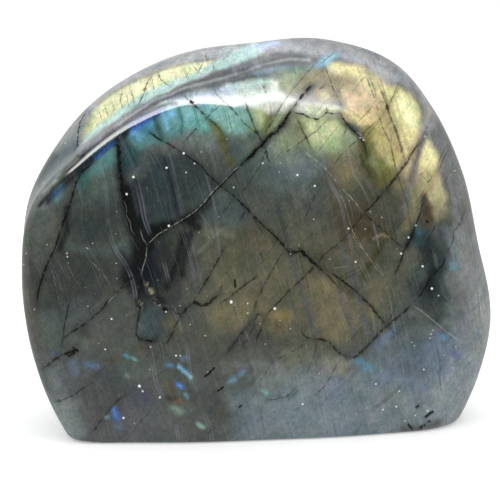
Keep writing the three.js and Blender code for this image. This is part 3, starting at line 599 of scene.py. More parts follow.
    ("tan", 0.4, 0.5, 0.6, [(43, 78), (42, 75.5), (41.3, 73.5)]),
    ("darkBrown", 0.6, 0.5, 0.6, [(40.4, 54.5), (40, 50), (38.5, 46.5)]),
    ("nearBlack", 0.6, 0.5, 0.6, [(38, 46), (36.5, 42.5)]),
    ("orangeBrown", 0.2, 0.4, 0.9, [(41, 55.2), (42.4, 57.4), (43.6, 60)]),
    ("cyanBlue", 0.25, 0.6, 0.8, [(38.5, 47.5), (39.5, 46)]),
    ("darkSlate", 0.35, 1, 1.2, [(44.5, 46), (46, 42)]),
    ("slate", 0.6, 0.8, 1, [(46, 47), (48, 42)]),
    # painted reflection over the stone's colour: a pale grey line along the valley
    ("lilacGreyReflection", 0.8, 0.3, 0.35, [(-33, 72), (-25, 77.3), (-16, 81), (-8, 83), (0, 85.8), (8, 87.6),
     (13, 87.4)]),
    ("valleyDark", 0.6, 0.25, 0.3, [(-33, 71.2), (-25, 76.6), (-16, 80.3)]),
    ("nearBlack", 0.35, 0.3, 0.4, [(-4, 84.6), (-1.5, 85.6)]),
    ("peachGold", 0.6, 0.25, 0.3, [(-38, 77), (-30, 82), (-22, 85.3), (-15, 87), (-10, 87.6)]),
    ("flashCyan", 0.9, 0.7, 0.6, [(-27, 78.4), (-23.5, 79.9), (-20, 81.4)]),
    ("greenGrey", 0.4, 0.7, 0.8, [(-42, 68.5), (-41, 71.5), (-39.5, 74)]),
    # painted reflection: a dark line along the upper left edge
    ("rimDarkReflection", 0.7, 0.12, 0.2, [(-52, 60), (-47, 68.5), (-41.5, 75.8), (-36, 80.5), (-30, 84.2)]),
    ("slate", 0.6, 1.4, 1.6, [(-50, 58), (-46, 64), (-43.5, 67)]),
    ("greyBrown", 0.4, 0.8, 0.8, [(-54.5, 51), (-51, 54.5), (-47, 58.5), (-43, 62)]),
    ("deepBlue", 0.85, 0.5, 0.6, [(-30, 71.6), (-27.6, 73.1), (-25.2, 74.3), (-23, 75.2)]),
    ("tan", 0.5, 0.6, 0.7, [(32, 70.2), (33.2, 67.2)]),
    ("khaki", 0.5, 0.4, 0.5, [(24, 80.4), (25.2, 79)]),
    ("khaki", 0.6, 0.3, 0.4, [(16, 77.4), (18.5, 76.6)]),
    ("greenGrey", 0.35, 0.7, 0.8, [(2.5, 83.2), (5, 82.8)]),
    ("greenBlue", 0.5, 0.6, 0.8, [(-13.5, 75.8), (-11.5, 76.6)]),
    ("leafGreen", 0.75, 0.9, 0.8, [(4.4, 71.8), (7, 74)]),
    ("flashYellow", 0.7, 0.8, 0.7, [(-37, 74), (-34, 76.6)]),
    # painted reflection over the stone's colour
    ("lilacGreyReflection", 0.4, 0.4, 0.6, [(-42, 65), (-40, 66.5), (-37.5, 68.3)]),
    ("nearBlack", 0.8, 0.4, 0.4, [(-45, 60.6), (-42.8, 62.3)]),
    # painted highlight: the ridge's highlight carried on down to the left, over the rim's grey
    ("rimGreyReflection", 0.8, 0.4, 0.5, [(-52.6, 53.2), (-50, 55.8)]),
    ("paintedGlareWhite", 0.35, 0.3, 0.4, [(-51, 55.5), (-46.5, 60), (-42.5, 63.6)]),
    ("nearBlack", 0.35, 0.2, 0.25, [(-53.5, 53.5), (-52.3, 54.8)]),
    ("nearBlack", 0.35, 0.2, 0.25, [(-47.5, 58.9), (-45.5, 60.8)]),
    # painted reflection over the stone's colour
    ("lilacGreyReflection", 0.4, 0.7, 1, [(-5, 85.6), (0, 87)]),
    ("purpleGrey", 0.8, 0.4, 0.5, [(2, 86), (6, 86.3), (9, 86.7), (12, 86.7)]),
    ("purpleGrey", 0.6, 0.25, 0.5, [(4, 88.7), (8.6, 88.5), (12, 88.1)]),
    ("flashCyan", 0.6, 0.5, 0.6, [(-26.5, 77.6), (-23.5, 79), (-21, 80.3)]),
    ("leafGreen", 0.25, 0.9, 1, [(1.5, 68.8), (3.5, 70)]),
    ("tan", 0.5, 0.5, 0.7, [(20.6, 74.7), (22.4, 73.7)]),
]

# Cracks and hairlines of the front: half width in mm, tone from 0 dark to 1 pale, strength, line in mm.
frontCracks = [
    (0.41, 0, 0.95, [(-33, 68.2), (-32.8, 65), (-32.4, 60), (-31.8, 56), (-31, 52), (-30, 48),
     (-29.7, 45.5)]),
    (0.11, 0.45, 0.5, [(-31.6, 53.8), (-30.9, 52), (-30.9, 50), (-30.1, 48.6), (-29.7, 46.5),
     (-28.8, 45.2)]),
    (0.21, 0, 0.9, [(-38.6, 63), (-41.7, 60.4), (-43, 57.8), (-43.9, 54.5), (-44.9, 51.5), (-46, 48.5),
     (-47.2, 45), (-48.2, 42), (-49.4, 39.6), (-50.8, 36.3), (-52, 32), (-52.6, 29)]),
    (0.15, 0, 0.85, [(-40.3, 75.6), (-41.8, 73), (-42.5, 70.5), (-42.7, 67), (-43.8, 64.8)]),
    (0.18, 0, 0.85, [(-24.5, 44.5), (-22, 46.4), (-16.8, 49.3), (-14, 51), (-12, 53), (-10, 55.5),
     (-7.7, 58), (-4.6, 61), (-1.5, 64), (1, 66.6), (3, 68.5)]),
    (0.39, 0, 0.9, [(-2.5, 63), (1, 66.6), (3.5, 69), (5.8, 70.9), (7.5, 73.4)]),
    (0.24, 0, 1, [(6.5, 72), (8, 74.5), (10, 77.2), (12, 79.5), (13.8, 81.5)]),
    (0.4, 0, 1, [(10.7, 77.9), (12, 79.5), (13.4, 81)]),
    (0.1, 0.9, 0.8, [(-26, 43), (-23.3, 45.6), (-20, 47.5), (-16.5, 49.7), (-14.5, 51), (-12.3, 53.2),
     (-10.5, 55.6), (-7.5, 58.4), (-5, 61), (-3.6, 62)]),
    (0.12, 0.8, 0.8, [(-26, 43), (-26.2, 40), (-27, 37.5), (-27.4, 35.5)]),
    (0.2, 0, 0.85, [(-27, 36), (-28, 31), (-27.7, 27.5), (-28.4, 23.5), (-28.6, 21.6), (-27.6, 20.4),
     (-25, 19.9), (-24, 20.4)]),
    (0.12, 0.6, 0.7, [(-27.7, 47), (-27, 44.5), (-26, 43)]),
    (0.16, 0, 0.9, [(8.5, 75.5), (9.8, 74.6), (11.5, 74.4), (13, 73.6), (15, 73.2), (16.3, 74), (17.3, 75),
     (18.4, 74.5), (20.4, 74.8)]),
    (0.16, 0, 0.85, [(17, 76.4), (17.3, 75)]),
    (0.16, 0, 0.85, [(20.3, 74.7), (21.2, 73.2), (22.4, 71.6), (23.8, 70.2), (25.2, 69), (26.2, 67.2),
     (26.5, 65.5)]),
    (0.14, 0, 0.8, [(14.6, 80), (16, 80.8), (17.2, 81.8)]),
    (0.16, 0, 0.85, [(-26, 70.3), (-22.5, 68), (-19.5, 66.5), (-16.7, 64.5), (-13, 62), (-11, 59.5),
     (-8.5, 57.3), (-5, 54.7), (-1.7, 51.3)]),
    (0.23, 0, 0.85, [(-3, 52.6), (0.5, 49), (3.3, 46.5), (5.5, 44.4), (7.2, 42.3), (8.7, 41)]),
    (0.33, 0, 0.9, [(8, 41.2), (9.8, 41.2), (11, 41.6), (13, 39.7), (14.8, 38), (16, 37)]),
    (0.23, 0, 0.8, [(18, 36.6), (20.5, 34.8), (23, 33), (25.3, 31), (27.6, 28.6), (29.5, 26.2),
     (31.7, 23.8)]),
    (0.16, 0, 0.7, [(14.5, 38.3), (17, 36.2), (19.2, 33.8), (20.3, 32.3)]),
    (0.18, 0, 0.7, [(31.7, 23.8), (33, 22.5), (34.3, 21.4)]),
    (0.1, 0, 0.5, [(42.9, 75), (41.5, 71.8), (39.6, 67.9)]),
    (0.25, 0, 0.8, [(39.6, 67.9), (38, 65.8), (36.2, 62.6), (33.5, 59), (31, 56)]),
    (0.16, 0, 0.75, [(31, 56), (28.5, 53), (26, 50.6)]),
    (0.17, 0, 0.55, [(26.4, 51), (24.6, 48.6), (22.4, 46), (20, 43.2), (18, 42), (16.4, 40.8),
     (14.8, 38.3)]),
    (0.18, 0, 0.7, [(14.8, 38.3), (11.3, 35), (8.5, 32.4), (5.5, 29.3), (3.5, 27.3), (2.2, 25.6)]),
    (0.16, 0, 0.7, [(2.2, 25.6), (1.4, 22.6), (0.5, 21), (0.2, 19)]),
    (0.14, 0, 0.6, [(2.2, 25.7), (0.8, 26.6), (0, 25.5), (-0.5, 23.5)]),
    (0.13, 0.95, 0.85, [(11.7, 65.8), (13.2, 64.2), (15.6, 62.6), (17.4, 60.8), (19, 58.8), (20.6, 56.6)]),
    (0.13, 0.9, 0.8, [(20.3, 56.8), (22.5, 55), (24, 53.2), (26, 50.6)]),
    (0.1, 0.9, 0.6, [(19.5, 58), (21.3, 53.5), (22.3, 50), (23.4, 46.3), (26, 42), (29, 37.6),
     (30.8, 35.2)]),
    (0.1, 0.85, 0.6, [(23, 46), (24.5, 43.4), (26.3, 41.6)]),
    (0.09, 0.85, 0.55, [(28.2, 39.2), (29.6, 38), (31.2, 34.8)]),
    (0.08, 0.9, 0.5, [(17.4, 37.3), (19.5, 37.6), (23, 38)]),
    (0.16, 0, 0.65, [(26, 50.6), (28.6, 48.6), (31, 46.4), (33.4, 44), (35.5, 42.3)]),
    (0.18, 0, 0.8, [(-17.4, 79), (-15.2, 77.1), (-13.5, 75.5), (-11.6, 73.6)]),
    (0.16, 0, 0.7, [(-11.6, 73.6), (-9.6, 72), (-7.8, 69.8)]),
    (0.12, 0, 0.65, [(-17.6, 67.2), (-15, 70), (-11.6, 73.6), (-8, 77)]),
    (0.1, 0, 0.55, [(-11.4, 73.8), (-10, 76), (-8.8, 77.5)]),
    (0.15, 0, 0.7, [(-10.2, 80.7), (-9, 78.7), (-7.6, 77.6), (-5, 75), (-2.8, 72.3), (0, 70), (2, 68.6)]),
    (0.23, 0, 0.8, [(-8.2, 78), (-7.2, 77.3)]), (0.25, 0, 0.8, [(-15.9, 77.7), (-15, 77)]),
    (0.08, 0, 0.6, [(-7, 75.8), (-6.2, 73), (-5.4, 69.5)]),
    (0.24, 0, 0.7, [(-2.6, 78), (-1.8, 75.5), (-0.5, 72), (0.6, 69.6), (2.2, 66.6), (3.4, 62.5)]),
    (0.12, 0, 0.75, [(1.2, 82), (2.2, 80.6), (2.6, 79), (2.4, 77.5)]),
    (0.16, 0, 0.6, [(14.5, 86.8), (12.3, 84.2), (10, 81.6), (7.2, 78), (5.8, 75.7), (4.2, 72.8), (2, 69.6)]),
    (0.16, 0, 0.6, [(9, 85.6), (10.2, 83.4)]), (0.12, 0, 0.45, [(16.5, 85.5), (13, 82), (9.8, 79.4)]),
    (0.25, 0, 0.55, [(9.8, 74.2), (10.8, 71.5), (11.9, 69.5), (13.4, 65.6)]),
    (0.14, 0, 0.55, [(17.6, 73.4), (14.5, 70.2), (10.5, 67.4), (6.5, 64.6)]),
    (0.1, 0, 0.5, [(20.5, 72.4), (17.5, 68.5), (14.5, 64.8)]),
    (0.12, 0, 0.5, [(24.8, 68.4), (22, 66.2), (18.6, 62)]), (0.16, 0, 0.55, [(22, 71.5), (21, 68.5)]),
    (0.12, 0, 0.8, [(16.6, 86.2), (17.8, 83.2), (18.8, 80.2), (20.3, 77.8), (20.7, 75.6)]),
    (0.1, 0, 0.4, [(20.2, 79.8), (16.5, 77.2), (14.5, 74.5)]),
    (0.12, 0, 0.6, [(26.2, 84.6), (27.6, 81), (28.9, 77.6), (29.7, 74)]),
    (0.14, 0, 0.6, [(27.4, 84.2), (28.6, 80.5), (29.2, 77.6)]),
    (0.22, 0, 0.65, [(30, 81), (31.2, 77.4), (32.6, 73.6), (34.2, 69.2), (35.4, 65.4), (36.3, 62.6)]),
    (0.41, 0, 0.4, [(31, 78.4), (32.3, 75)]), (0.12, 0, 0.5, [(34.6, 82.8), (33.2, 79), (31.8, 76)]),
    (0.12, 0, 0.5, [(31, 78), (28, 76.2), (24.5, 72.2)]),
    (0.15, 0, 0.55, [(29.3, 75), (30.6, 71.4), (32.4, 67.4), (33.2, 63.2), (34, 60.4)]),
    (0.1, 0, 0.5, [(29.5, 73.2), (26.5, 70.4), (25, 68)]),
    (0.1, 0, 0.5, [(27.6, 84.6), (25.5, 82.6), (23.2, 79.8)]),
    (0.12, 0, 0.45, [(39.6, 60.5), (41.5, 58), (44, 61.5)]), (0.1, 0, 0.5, [(38.6, 59), (41.5, 61.6)]),
    (0.26, 0, 0.8, [(22.3, 16), (24.6, 16.5), (27.3, 19.2), (29.6, 21.8), (31.7, 23.8), (35, 26.4),
     (37.6, 28.8)]),
    (0.2, 0, 0.65, [(37.6, 28.8), (40.3, 32), (42, 35.2), (44.8, 38.2), (46, 40.6)]),
    (0.14, 0, 0.6, [(31.8, 24.4), (32.8, 26.4), (33.8, 28.6)]),
    (0.2, 0, 0.8, [(38.2, 46.6), (37, 44), (35.8, 41.8), (34.7, 38.6), (33.4, 35.8)]),
    (0.18, 0, 0.8, [(40.4, 54), (39.8, 51), (38.6, 48), (37.4, 45)]),
    (0.16, 0, 0.6, [(46, 40.8), (47.3, 43.6), (47.8, 46.5), (49.3, 48.6), (50.4, 51.6)]),
    (0.16, 0, 0.55, [(41, 43.5), (42.5, 46.4), (43.6, 48.6)]),
    (0.25, 0, 0.85, [(14, 20.5), (15.8, 20.5), (17.6, 19.9), (19.2, 18.2), (20.4, 17), (22.3, 16)]),
    (0.16, 0, 0.7, [(10.8, 22.8), (12, 21), (14, 20.3)]),
    (0.18, 0.1, 0.7, [(4.4, 24.6), (5.6, 23.6), (6.5, 22.6)]),
    (0.14, 0, 0.5, [(19.8, 15), (18.4, 12), (16.8, 9.4), (14, 6.8)]),
    (0.1, 0, 0.4, [(21, 15.4), (21.9, 12.4)]), (0.12, 0, 0.5, [(15, 20), (14, 16), (12, 11.2)]),
    (0.12, 0, 0.45, [(1, 10.2), (3, 13.2), (4.6, 15.2), (7, 16.6), (10.8, 18.6), (13.2, 20)]),
    (0.14, 0, 0.6, [(2.4, 5.9), (4.8, 6.1), (7.5, 6.8), (9, 7.6)]),
    (0.15, 0, 0.55, [(44.5, 31), (46.6, 29)]),
    (0.12, 0.7, 0.8, [(37.4, 28.8), (39.8, 27.4), (42.2, 25.4), (44.4, 23.7), (46.4, 22), (49.4, 20)]),
    (0.12, 0.95, 0.7, [(47, 21.6), (48.6, 20.4), (50, 19.8)]),
    (0.12, 0.5, 0.6, [(50, 19.8), (52, 20.2), (53.6, 19.6), (55.2, 18.4)]),
    (0.1, 0, 0.4, [(50, 13.5), (53.6, 16.8)]),
    (0.2, 0, 0.8, [(-28, 36.5), (-30, 34.8), (-33, 31.8), (-35.2, 29.7), (-37, 27.4), (-40, 24.8),
     (-42, 23.3), (-44.4, 22), (-46.4, 20.4)]),
    (0.1, 0.9, 0.75, [(-30.4, 34.2), (-32.6, 32.2), (-34.8, 29.8), (-36, 28.4)]),
    (0.16, 0, 0.65, [(-44.6, 30), (-45.3, 26), (-45.8, 24), (-46.2, 20), (-46.6, 18)]),
    (0.25, 0, 0.8, [(-42.6, 18.8), (-45, 17.4), (-46.8, 16.4), (-49, 14.8), (-51.6, 13.2)]),
    (0.12, 0, 0.4, [(-44.5, 14), (-47.5, 12.6)]),
    (0.16, 0, 0.8, [(-20.6, 28.4), (-19.2, 26.8), (-17.8, 26.2)]),
    (0.27, 0, 0.85, [(-18, 26), (-16.6, 27.8), (-14.6, 29.2), (-12.6, 28.4), (-11, 29.2), (-9.8, 30.4),
     (-8.4, 31.4)]),
    (0.16, 0, 0.7, [(-8.4, 29), (-6, 30.6), (-3.6, 32.6), (-1.2, 34.4), (1, 35.8)]),
    (0.2, 0, 0.65, [(-18, 26.2), (-19.4, 23.2), (-20.6, 20.4), (-22.4, 18.4)]),
    (0.18, 0, 0.75, [(-7.4, 42.4), (-9.4, 38.6), (-11.3, 35.2), (-14, 30.8)]),
    (0.12, 0, 0.5, [(-7.6, 34.4), (-8.6, 31.2)]),
    (0.15, 0, 0.6, [(6.8, 41.6), (4.6, 38), (2.8, 34.6), (0.6, 30.4), (-0.5, 26.5)]),
    (0.25, 0, 0.55, [(-1, 25), (-4, 21), (-7.2, 16.4)]),
    (0.2, 0, 0.5, [(0.2, 24), (-1.5, 21.2), (-3.6, 18.4)]),
    (0.12, 0, 0.55, [(-0.2, 42.6), (1.6, 40.4), (2, 38.6)]),
    (0.12, 0, 0.5, [(-1.7, 51.2), (0.8, 47.6), (2, 45.4)]),
    (0.12, 0, 0.5, [(-5.3, 54.4), (-6.6, 52), (-7.8, 50.4)]), (0.18, 0, 0.55, [(-2.2, 52), (-3.6, 49)]),
    (0.12, 0, 0.5, [(2.8, 66.4), (1.2, 62), (-1, 58.6), (-3.6, 55.2)]),
    (0.12, 0, 0.5, [(15, 56), (13, 52), (11.5, 48.6)]),
    (0.18, 0, 0.65, [(-48.6, 5.3), (-46, 6), (-43.6, 7), (-42, 8.2), (-39.8, 9.6)]),
    (0.18, 0, 0.65, [(-30.4, 7.6), (-33.2, 5.6), (-35.6, 2.8), (-37.4, 0.6), (-39.4, -2.4)]),
    (0.12, 0, 0.4, [(-25, 3.2), (-27.6, 0.6), (-30, -2)]),
    (0.12, 0, 0.45, [(-34, 15.6), (-37.4, 12.6), (-39.6, 11)]),
    (0.1, 0, 0.4, [(-20, 14), (-22.5, 12.4), (-25, 10.8)]),
    (0.16, 0, 0.7, [(-24.9, 83.9), (-25.9, 82), (-26.8, 79.4), (-28.2, 76.2)]),
    (0.12, 0, 0.6, [(-24.9, 83.6), (-24.4, 81), (-24.1, 79)]), (0.1, 0, 0.5, [(-26.2, 81), (-25.4, 78.4)]),
    (0.13, 0, 0.7, [(-23.6, 85), (-22.7, 82.8), (-21.2, 81.6), (-20, 81)]),
    (0.16, 0, 0.6, [(-31.8, 80.4), (-32.4, 77.6), (-31.6, 75.4)]),
    (0.14, 0, 0.55, [(-30.9, 79.8), (-30.6, 77.4), (-30, 75.6)]),
    (0.16, 0, 0.55, [(-29.8, 80.6), (-29, 76.6)]), (0.1, 0, 0.5, [(-36.2, 77), (-35.2, 73.4)]),
    (0.1, 0, 0.5, [(-37.6, 75.6), (-36.6, 72.4)]), (0.1, 0, 0.5, [(-39, 74), (-37.6, 71)]),
    (0.1, 0, 0.45, [(-34.4, 77.6), (-33.6, 74.8)]), (0.1, 0, 0.45, [(-40.3, 72.4), (-39.3, 70)]),
    (0.1, 0, 0.6, [(-15.4, 86.6), (-14, 85), (-12.6, 83.6)]), (0.1, 0, 0.5, [(-15, 86), (-17, 83)]),
    (0.1, 0, 0.6, [(-12.2, 87.4), (-13.8, 84.4), (-15.4, 83)]),
    (0.12, 0, 0.55, [(-12, 89.2), (-11.4, 86.8)]), (0.1, 0, 0.5, [(-10.2, 86.8), (-9.8, 84.8)]),
    (0.08, 0, 0.4, [(-5.4, 89.4), (-8.4, 87)]), (0.12, 0, 0.6, [(20, 90), (17.4, 88), (14.6, 85.6)]),
    (0.1, 0, 0.4, [(26, 88.6), (27.4, 84.6)]), (0.1, 0.9, 0.7, [(1, 87.2), (2.2, 86.2)]),
    (0.08, 0.8, 0.5, [(2.2, 87.8), (3.6, 87.2)]), (0.08, 0.95, 0.6, [(9.2, 60.2), (10.6, 59.4)]),
    (0.09, 1, 0.6, [(-39.6, 39.4), (-36, 35.4), (-34.6, 33.4)]),
    (0.08, 0.9, 0.45, [(-45.4, 38.6), (-42, 32.8)]),
    (0.08, 0.9, 0.35, [(-49, 38), (-47.4, 31), (-46.6, 27.6)]), (0.08, 0.9, 0.3, [(-48, 36.5), (-46, 31)]),
    (0.08, 0.9, 0.3, [(-52.4, 40), (-50.4, 35.4)]),
]

# Dust and bright specks: radius in mm, strength, place in mm.
frontDust = [
    (0.3, 1, -17.2, 65), (0.3, 0.9, -21.3, 61.5), (0.3, 0.9, -29.3, 59.3), (0.28, 0.9, -30.9, 55.2),
    (0.22, 0.8, -14.6, 62.5), (0.22, 0.7, -16.6, 60.4), (0.3, 0.9, -20.8, 47.6), (0.22, 0.8, 1.8, 62.6),
    (0.3, 1, 10.1, 59.8), (0.25, 0.9, 14.3, 57.2), (0.25, 0.8, 22.4, 47), (0.28, 0.9, 35, 41),
    (0.25, 0.9, 24.1, 39), (0.28, 0.95, 40.2, 38), (0.3, 0.95, 42.4, 32.7), (0.2, 0.8, 44, 31),
    (0.36, 1, 4.7, 27.8), (0.36, 1, -5.8, 29.4), (0.2, 0.8, -1.8, 29), (0.2, 0.8, -1.8, 26.7),
    (0.2, 0.6, -12, 21.3), (0.25, 0.9, -34.5, 25.3), (0.2, 0.8, -36, 18), (0.36, 1, -27.8, 9.2),
    (0.25, 0.8, -27, 8), (0.3, 0.9, -22.9, 6.5), (0.2, 0.8, -25.1, 18.6), (0.3, 0.9, -19, 16.5),
    (0.2, 0.7, -18, 16.5), (0.25, 0.9, 11.4, 5), (0.2, 0.8, 29, 9.8), (0.2, 0.8, 34.6, 8.1),
    (0.25, 0.8, 33.9, 4.4), (0.2, 0.8, 30.7, 3.7), (0.2, 0.8, 40.5, 13.3), (0.2, 0.8, 42.2, 21.8),
    (0.16, 0.7, 42.7, 22.7), (0.2, 0.6, -45.1, 40.2), (0.2, 0.6, -45.2, 41), (0.16, 0.7, -33.4, 38.6),
    (0.16, 0.6, -53, 27.6), (0.16, 0.6, -39, 43.4), (0.14, 0.6, -40.2, 42.1), (0.16, 0.5, 6, 62.7),
    (0.16, 0.5, -13, 65.3), (0.3, 0.9, -31.6, 1.6), (0.16, 0.5, -29, 0.3), (0.2, 0.6, 38.4, 2.3),
    (0.2, 0.6, 36, 1), (0.25, 0.5, 41.4, 3.4), (0.18, 0.7, 20.8, 80.2), (0.2, 0.7, 38.6, 47.8),
    (0.25, 0.7, 36.8, 44.9), (0.16, 0.6, 30.4, 49.7), (0.16, 0.5, 26.4, 46.9), (0.16, 0.5, 14, 49.2),
    (0.2, 0.6, -5.2, 56.8), (0.16, 0.6, -6.8, 68.4), (0.2, 0.6, 25.2, 68.8), (0.2, 0.7, 26, 68.2),
    (0.2, 0.5, 40.7, 69.2), (0.2, 0.5, 48, 61), (0.16, 0.5, -55, 41), (0.16, 0.5, -55.6, 38.4),
    (0.2, 0.5, -50.8, 58), (0.2, 0.5, -45.6, 67.6), (0.2, 0.6, -21.4, 27), (0.16, 0.5, 42, 20.8),
    (0.16, 0.5, 38.2, 19), (0.16, 0.5, 37.6, 19.8), (0.16, 0.5, 48.2, 18.8), (0.16, 0.5, -11.4, 12.6),
    (0.16, 0.5, 8.4, 23), (0.14, 0.5, 2.4, 19.3), (0.14, 0.4, -16.4, 32.5),
]

# Open pits and chips: half width and depth in mm, line in mm.
frontPits = [
    (0.55, 0.45, [(-21.8, 27.8), (-21.5, 27.6)]), (0.3, 0.3, [(-45.4, 17), (-44, 17.6), (-42.8, 18)]),
    (0.25, 0.25, [(-44.8, 16.4), (-43.4, 17.2)]), (0.25, 0.25, [(-43.8, 18.5), (-42.6, 17.6)]),
    (0.25, 0.3, [(-12, 11.6), (-11, 12.4), (-9.9, 13.6)]), (0.22, 0.25, [(-8.9, 8.1), (-7.7, 9)]),
    (0.22, 0.3, [(-4.9, 34.7), (-4.8, 33)]), (0.2, 0.2, [(-3.8, 4.2), (-3.3, 4.6)]),
    (0.25, 0.25, [(38.7, 4.2), (39.3, 4.7)]), (0.3, 0.3, [(41, 2), (42.6, 3.2)]),
    (0.25, 0.25, [(36.8, 0.2), (37.6, -0.8)]), (0.3, 0.25, [(39.7, -0.6), (40.6, 0)]),
    (0.2, 0.2, [(41.6, 0.8), (42, 1)]), (0.25, 0.2, [(41.1, 48.9), (41.4, 48.6)]),
    (0.3, 0.2, [(-25.8, 20.2), (-25.1, 20.1)]), (0.25, 0.15, [(-28.2, 28.8), (-27.8, 27.8)]),
    (0.25, 0.15, [(-24.4, 29.8), (-23.2, 29)]), (0.3, 0.25, [(12.6, 80.2), (13.4, 81)]),
    (0.25, 0.2, [(11, 78.4), (11.6, 79)]), (0.25, 0.2, [(-15.5, 77.3), (-15, 77)]),
]

# The back, laid out the same way along its own line of sight.
backPatches = [
    ("slate", 0.8, 6, [(-60, -8), (-60, 40), (-40, 34), (-20, 20), (0, 10), (10, -8)]),
    ("greyBrown", 0.8, 6, [(-6, 30), (20, 34), (50, 44), (60, 20), (56, -6), (10, -6)]),
    ("darkGreen", 0.8, 4, [(-44, 62), (-26, 70), (-14, 56), (-18, 40), (-36, 34), (-48, 44)]),
    ("darkSlate", 0.85, 4, [(14, 60), (30, 66), (44, 50), (40, 34), (24, 30), (12, 40)]),
    ("tealGrey", 0.7, 4, [(-16, 56), (0, 62), (14, 56), (12, 40), (-4, 34), (-18, 40)]),
    ("blueSlate", 0.6, 3, [(-46, 24), (-34, 24), (-30, 12), (-40, 6), (-48, 12)]),
    ("purpleGrey", 0.5, 4, [(20, 24), (40, 26), (44, 10), (24, 6)]),
    ("dullGold", 0.85, 4, [(-38, 30), (-20, 36), (-2, 32), (2, 18), (-14, 8), (-34, 12)]),
    ("gold", 0.7, 3, [(-30, 26), (-16, 30), (-8, 24), (-12, 14), (-26, 14)]),
    ("umber", 0.7, 3, [(-4, 40), (8, 42), (16, 32), (8, 22), (-2, 28)]),
    ("cream", 0.5, 1.6, [(2, 24), (8, 26), (10, 20), (4, 18)]),
    ("ink", 0.6, 2, [(-30, 52), (-24, 54), (-20, 46), (-26, 42)]),
    ("nearBlack", 0.7, 2, [(8, 58), (13, 54), (15, 44), (12, 36), (6, 42), (8, 50)]),
    ("teal", 0.9, 2.5, [(-36, 72), (-18, 80), (-2, 82), (6, 76), (-4, 67), (-20, 64), (-32, 63)]),
    ("greenBlue", 0.9, 2, [(-25, 75), (-10, 79), (0, 77), (-6, 70), (-20, 68)]),
    ("seaGreen", 0.85, 2, [(0, 80), (12, 79), (18, 71), (10, 63), (0, 66)]),
    ("leafGreen", 0.85, 2, [(12, 78), (24, 73), (29, 64), (20, 58), (12, 62)]),
    ("paleGreen", 0.8, 1.5, [(14, 75), (22, 71), (24, 64), (17, 63)]),
    ("cyanBlue", 0.85, 1.6, [(-41, 65), (-34, 71), (-26, 71), (-29, 61), (-38, 56)]),
    ("deepBlue", 0.8, 1.6, [(-44, 58), (-38, 64), (-33, 60), (-38, 50)]),
    ("khaki", 0.8, 2, [(28, 70), (36, 63), (40, 52), (33, 49), (27, 58)]),
    ("peachGold", 0.8, 1.6, [(30, 66), (35, 61), (38, 54), (34, 53), (30, 59)]),
    ("olive", 0.7, 1.2, [(6, 76), (10, 76), (13, 66), (10, 62), (7, 68)]),
    ("flashCyan", 0.8, 1.2, [(-30, 80), (-14, 86), (0, 87.4), (0, 85), (-14, 83), (-29, 77.4)]),
    ("limeYellow", 0.85, 1.4, [(-4, 87), (8, 87.6), (20, 83), (28, 77), (25, 75.6), (14, 80.6), (0, 84)]),
    ("peach", 0.8, 1.4, [(26, 78), (34, 71), (41, 61), (38, 60), (31, 69), (25, 75)]),
    # painted reflection over the stone's colour: greys of the top and the rims
    ("topGreyReflection", 0.7, 2.5, [(-52, 64), (-36, 80), (-14, 89), (8, 91), (10, 99), (-30, 99), (-62, 68)]),
    ("lilacGreyReflection", 0.8, 2.5, [(8, 90), (26, 83), (38, 73), (47, 60), (60, 60), (40, 96), (10, 99)]),
    ("rimPaleReflection", 0.7, 3, [(45, 64), (51, 48), (52, 34), (49, 16), (60, 16), (62, 50), (52, 76)]),
    ("rimGreyReflection", 0.7, 3, [(-56, 60), (-50, 54), (-53, 40), (-51, 24), (-48, 10), (-60, 10), (-62, 50)]),
]

backStrokes = [
    ("darkTeal", 0.7, 1, 1.2, [(-9, 80), (-6, 72), (-5, 67)]),
    ("skyBlue", 0.7, 0.7, 0.8, [(-15, 78), (-13, 71)]),
    ("skyBlue", 0.6, 0.7, 0.8, [(-30, 70), (-28, 64)]),
    ("darkTeal", 0.6, 1, 1, [(-22, 76), (-19, 67)]),
    ("purpleGrey", 0.7, 0.7, 0.9, [(-10, 62), (-7, 50), (-5, 38)]),
    ("purpleGrey", 0.6, 0.7, 0.9, [(-24, 34), (-21, 22), (-19, 12)]),
    ("purpleGrey", 0.6, 0.7, 0.9, [(-16, 36), (-13, 24), (-11, 14)]),
    ("tealGrey", 0.6, 0.8, 1, [(20, 58), (23, 46), (26, 34)]),
    ("ink", 0.7, 0.8, 1, [(30, 60), (32, 48), (34, 40)]),
    ("skyBlue", 0.9, 0.7, 0.7, [(30, 15), (33, 12)]),
    ("blue", 0.8, 1, 1, [(38, 9), (39, 5)]),
    ("cyanBlue", 0.7, 0.8, 0.8, [(20, 10), (23, 9)]),
    ("seaGreen", 0.8, 0.8, 0.8, [(11, 4), (14, 3)]),
    ("blueSlate", 0.8, 1.2, 1.4, [(-40, 18), (-36, 14)]),
    ("orangeBrown", 0.6, 0.8, 1, [(24, 44), (27, 42)]),
    ("tan", 0.7, 0.6, 0.7, [(-4, 47), (-2, 44)]),
    ("ochre", 0.5, 1.4, 1.6, [(-22, 24), (-19, 21)]),
]

